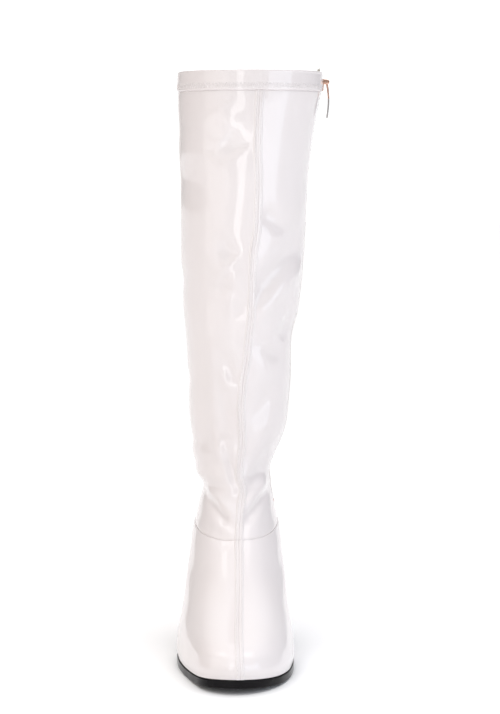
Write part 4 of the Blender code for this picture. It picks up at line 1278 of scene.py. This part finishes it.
PIN_INSET = 0.2 * MM
PIN_RINGS = 5
PIN_SIDES = 16

# The pull tab from its eye to its end: shares of its length, and half its width there
PULL_SHARES = np.concatenate([np.linspace(0, 0.9, 34), [0.93, 0.96, 0.98, 0.992, 1.0]])
PULL_PLACES = (0, 0.16, 0.3, 0.55, 0.85, 0.95, 1.0)
PULL_BLADE = PULL_WIDTH / 2 * np.array([0.86, 1, 0.96, 0.7, 0.3])
PULL_HALF_WIDTHS = (PULL_NECK / 2, PULL_NECK / 2, *PULL_BLADE)
PULL_SIDES = 20
PULL_POWER = 3.4
PULL_THIN = (0.22, 0.9, 0.88)
PULL_END = (0.96, 0.75)
GREY_FROM = 0.42
EYE_RINGS = 28
EYE_SIDES = 14
EYE_POWER = 3.0

# A stop's rings: place as a share of its length, and size
STOP_RINGS = ((0, 0.7), (0.08, 0.92), (0.2, 1), (0.8, 1), (0.92, 0.92), (1, 0.7))
STOP_SIDES = 16


def slider_point():
    return ZipPoint(row_of_height(BOOT_HEIGHT - SLIDER_BELOW_RIM - SLIDER_LENGTH / 2))


def ring_at(at, ring, across, out, up):
    """A ring laid across the zip near one of its points."""
    return [at.place(across + a, out + o, up) for a, o in ring]


def make_slider(metal):
    """The slider: a rounded shield over the chain with skirts, two lugs and the pin."""
    at = slider_point()
    half = SLIDER_WIDTH / 2
    plate = []
    for share, wide, deep in PLATE_RINGS:
        ring = superellipse(half * wide, SLIDER_PLATE / 2 * deep, PLATE_SIDES)
        plate.append(ring_at(at, ring, 0, sum(PLATE_OUT) / 2, share * SLIDER_LENGTH / 2))
    stacks = [plate]
    for side in (-1, 1):
        skirt, lug = [], []
        ring = superellipse(*SKIRT_HALF, SKIRT_SIDES)
        centre = side * (half - SKIRT_INSET)
        for share in SKIRT_RINGS:
            skirt.append(ring_at(at, ring, centre, sum(SKIRT_OUT) / 2, share * SLIDER_LENGTH / 2))
        centre, low = side * (half - LUG_THICKNESS / 2), LUG_OUT[0]
        for share in np.linspace(0, 1, LUG_RINGS):
            rounding = max((share - LUG_ROUND_FROM) / LUG_ROUND_LENGTH, 0)
            reach = LUG_REACH * math.sqrt(max(1 - rounding**2, LUG_LEAST))
            out = low + share * (LUG_OUT[1] - low)
            ring = superellipse(LUG_THICKNESS / 2, reach, LUG_SIDES)
            lug.append([at.place(centre + a, out, PIN_UP + o) for a, o in ring])
        stacks += [skirt, lug]
    pin_half = half - PIN_INSET
    path = [at.place(a, PIN_OUT, PIN_UP) for a in np.linspace(-pin_half, pin_half, PIN_RINGS)]
    stacks.append(tube_rings(path, PIN_DIAMETER / 2, PIN_SIDES))
    add_piece(ring_object("slider_body", stacks, metal, sharp=45), "boot", "zip_metal", "zip_slider")


def make_pull(metal, grey):
    """The tab: a rose gold eye and neck, and a grey blade, thinner inside its rounded end."""
    at = slider_point()
    pin = at.place(0, PIN_OUT, PIN_UP)
    down = np.array([0, 0, -1.0])
    across = at.across - down * at.across.dot(down)
    across /= np.linalg.norm(across)
    out = np.cross(across, down)
    out *= 1 if out.dot(at.out) > 0 else -1
    width = Curve(PULL_PLACES, PULL_HALF_WIDTHS)
    start = 0.5 * (EYE_RADIUS + EYE_RIM)
    rings = []
    for share in PULL_SHARES:
        middle = pin + down * (start + share * (PULL_LENGTH - start))
        bow = PULL_BOW * math.sin(math.pi * share)
        thick = PULL_THICKNESS / 2 * (1 if share < PULL_END[0] else PULL_END[1])
        thick *= PULL_THIN[2] if PULL_THIN[0] < share < PULL_THIN[1] else 1.0
        ring = superellipse(float(width(share)), thick, PULL_SIDES, PULL_POWER)
        rings.append([middle + across * a + out * (bow + o) for a, o in ring])
    points, faces = ring_mesh([rings])
    kinds = [int(PULL_SHARES[face[0] // PULL_SIDES] > GREY_FROM) for face in faces]
    middle, radius = (EYE_RIM + EYE_RADIUS) / 2, (EYE_RIM - EYE_RADIUS) / 2
    section = superellipse(PULL_NECK / 2, radius, EYE_SIDES, EYE_POWER)
    eye = []
    for angle in np.linspace(0, 2 * math.pi, EYE_RINGS, endpoint=False):
        away = math.cos(angle) * out + math.sin(angle) * down
        eye += [pin + across * a + away * (middle + o) for a, o in section]
    for k in range(EYE_RINGS):
        low = len(points) + k * EYE_SIDES
        high = len(points) + (k + 1) % EYE_RINGS * EYE_SIDES
        for i in range(EYE_SIDES):
            j = (i + 1) % EYE_SIDES
            faces.append((low + i, low + j, high + j, high + i))
            kinds.append(0)
    points = np.concatenate([points, eye])
    obj = mesh_object("pull_tab_metal", points, faces, [metal, grey], kinds, sharp=50)
    add_piece(obj, "pull_tab", "zip_metal", "zip_pull")


def make_stop(name, across, at, low, metal):
    """A small rounded clamp over the chain's end."""
    centre, half = sum(across) / 2, (across[1] - across[0]) / 2
    middle, thick = (CHAIN_TOP - WALL) / 2, (CHAIN_TOP + WALL) / 2
    length = STOP_LENGTH if "top" in name else BOTTOM_STOP_LENGTH
    rings = []
    for share, size in STOP_RINGS:
        ring = superellipse(half * size, thick * size, STOP_SIDES)
        rings.append(ring_at(at, ring, centre, middle, low + share * length))
    obj = ring_object(name.replace("zip_", "") + "_metal", [rings], metal, sharp=50)
    add_piece(obj, "boot", "zip_metal", name)


def make_zip(tape, coil, thread, metal, grey):
    make_tape("zip_tape_front", -1, tape)
    make_tape("zip_tape_back", 1, tape)
    make_coil(coil, thread)
    make_slider(metal)
    make_pull(metal, grey)
    top, half = ZipPoint(TOP_ROW), CHAIN_WIDTH / 2
    high = -STOP_LENGTH - TOP_STOP_DROP
    make_stop("zip_top_stop_front", (-half, -GAP), top, high, metal)
    make_stop("zip_top_stop_back", (GAP, half), top, high, metal)
    make_stop("zip_bottom_stop", (-half, half), ZipPoint(ZIP_END_ROW), BOTTOM_STOP_LIFT, metal)


FLOOR_SIZE = 14
FLOOR_PLACE = (0, 2.5, 0)
WHITE = (1, 1, 1)
COOL_WHITE = (0.78, 0.88, 1.0)
WARM_WHITE = (1.0, 0.93, 0.89)
BOOT_MIDDLE = (0, 0, 0.24)
TOE = (0, -0.1, 0.03)

# Each panel: its place, what it faces, its size, its power in watts and its colour
PANELS = {
    "cool_panel": ((0.68, -0.56, 0.27), BOOT_MIDDLE, (0.72, 0.5), 2.1, COOL_WHITE),
    "strip_panel": ((-0.23, -0.87, 0.4), BOOT_MIDDLE, (0.16, 0.78), 0.95, WHITE),
    "warm_panel": ((-1.35, -0.9, 0.5), BOOT_MIDDLE, (1.4, 1.6), 5.4, WARM_WHITE),
    "toe_panel_left": ((-0.9, -0.1, 1.75), TOE, (0.55, 0.4), 1.0, WHITE),
    "toe_panel_right": ((1.0, -0.1, 1.75), TOE, (0.55, 0.4), 1.0, WHITE),
}

# The room's strength by how far a direction points back and up: from low to high, and what they give
ROOM_DEPTH = (0.86, 0.98, 0.46, 1.25)
ROOM_HEIGHT = (0.3, 0.8, 0.0, 1.65)

# The room's colours from its left to its right, white between
ROOM_LEFT = (0.70, 0.63, 0.60)
ROOM_RIGHT = (0.72, 0.71, 0.79)
ROOM_WHITE_SPOTS = (0.40, 0.60)


def make_floor():
    bpy.ops.mesh.primitive_plane_add(size=FLOOR_SIZE, location=FLOOR_PLACE)
    floor = bpy.context.active_object
    floor.name = "floor"
    floor.data.materials.append(new_material("floor", (0.95, 0.95, 0.95), 0.8, {}))


def aim(obj, place, target):
    """Puts a light or a camera at a place, facing a target."""
    obj.location = place
    obj.rotation_euler = (Vector(target) - Vector(place)).to_track_quat("-Z", "Y").to_euler()
    bpy.context.scene.collection.objects.link(obj)


def make_panels():
    """A cool panel at the right, a narrow one near the camera, a warm fill and two over the toe."""
    for name, (place, target, size, power, colour) in PANELS.items():
        data = bpy.data.lights.new(name, "AREA")
        data.shape = "RECTANGLE"
        data.size, data.size_y = size
        data.energy = power
        data.color = colour
        aim(bpy.data.objects.new(name, data), place, target)


def map_range(tree, source, *values):
    """Maps a value from one range to another, 0 to 1 unless it is given."""
    node = tree.nodes.new("ShaderNodeMapRange")
    for socket, value in zip(("From Min", "From Max", "To Min", "To Max"), values):
        node.inputs[socket].default_value = value
    tree.links.new(source, node.inputs["Value"])
    return node.outputs["Result"]


def make_world():
    """A white room behind and above the boot, dimmer elsewhere, so that its edges read."""
    world = bpy.data.worlds.new("studio")
    world.use_nodes = True
    tree = world.node_tree
    background = tree.nodes["Background"]
    place = tree.nodes.new("ShaderNodeTexCoord")
    split = tree.nodes.new("ShaderNodeSeparateXYZ")
    tree.links.new(place.outputs["Generated"], split.inputs["Vector"])
    ramp = tree.nodes.new("ShaderNodeValToRGB")
    elements = ramp.color_ramp.elements
    elements[0].color, elements[1].color = (*ROOM_LEFT, 1), (*ROOM_RIGHT, 1)
    for spot in ROOM_WHITE_SPOTS:
        elements.new(spot).color = (*WHITE, 1)
    tree.links.new(map_range(tree, split.outputs["X"], -1.0, 1.0), ramp.inputs["Fac"])
    tree.links.new(ramp.outputs["Color"], background.inputs["Color"])
    brighter = tree.nodes.new("ShaderNodeMath")
    brighter.operation = "MAXIMUM"
    tree.links.new(map_range(tree, split.outputs["Y"], *ROOM_DEPTH), brighter.inputs[0])
    tree.links.new(map_range(tree, split.outputs["Z"], *ROOM_HEIGHT), brighter.inputs[1])
    tree.links.new(brighter.outputs["Value"], background.inputs["Strength"])
    bpy.context.scene.world = world


# The camera's place from the ball's centre line and the toe, and its lens in the frame's pixels
CAMERA_ACROSS = 72.7 * MM
CAMERA_AHEAD = 1400 * MM
CAMERA_HEIGHT = 389 * MM
LENS_PIXELS = 2000.0
FRAME_HEIGHT = 714.0
AIM_HEIGHT = 232 * MM


def make_camera():
    data = bpy.data.cameras.new("camera")
    data.sensor_fit = "VERTICAL"
    data.angle = 2 * math.atan(FRAME_HEIGHT / 2 / LENS_PIXELS)
    camera = bpy.data.objects.new("camera", data)
    place = (SHIFT[0] + CAMERA_ACROSS, SHIFT[1] - CAMERA_AHEAD, CAMERA_HEIGHT)
    aim(camera, place, (0, 0, AIM_HEIGHT))
    bpy.context.scene.camera = camera


def main():
    make_camera()
    looks = {name: make_material(name) for name in MATERIALS}
    walls = [looks["patent"], looks["lining"]]
    make_vamp(walls)
    make_shaft(walls)
    make_topstitch(looks["thread"])
    make_zigzag(looks["thread"])
    make_slot_stitch(looks["thread"])
    make_outsole(looks["sole_edge"], looks["tread"])
    make_insole(looks["sock"])
    make_heel(looks["patent"])
    make_top_lift(looks["sole_edge"], looks["tread"])
    make_zip(*(looks[name] for name in ("tape", "coil", "thread", "rose_gold", "grey_metal")))
    make_floor()
    make_world()
    make_panels()
    bpy.context.scene.view_settings.view_transform = "Standard"


main()
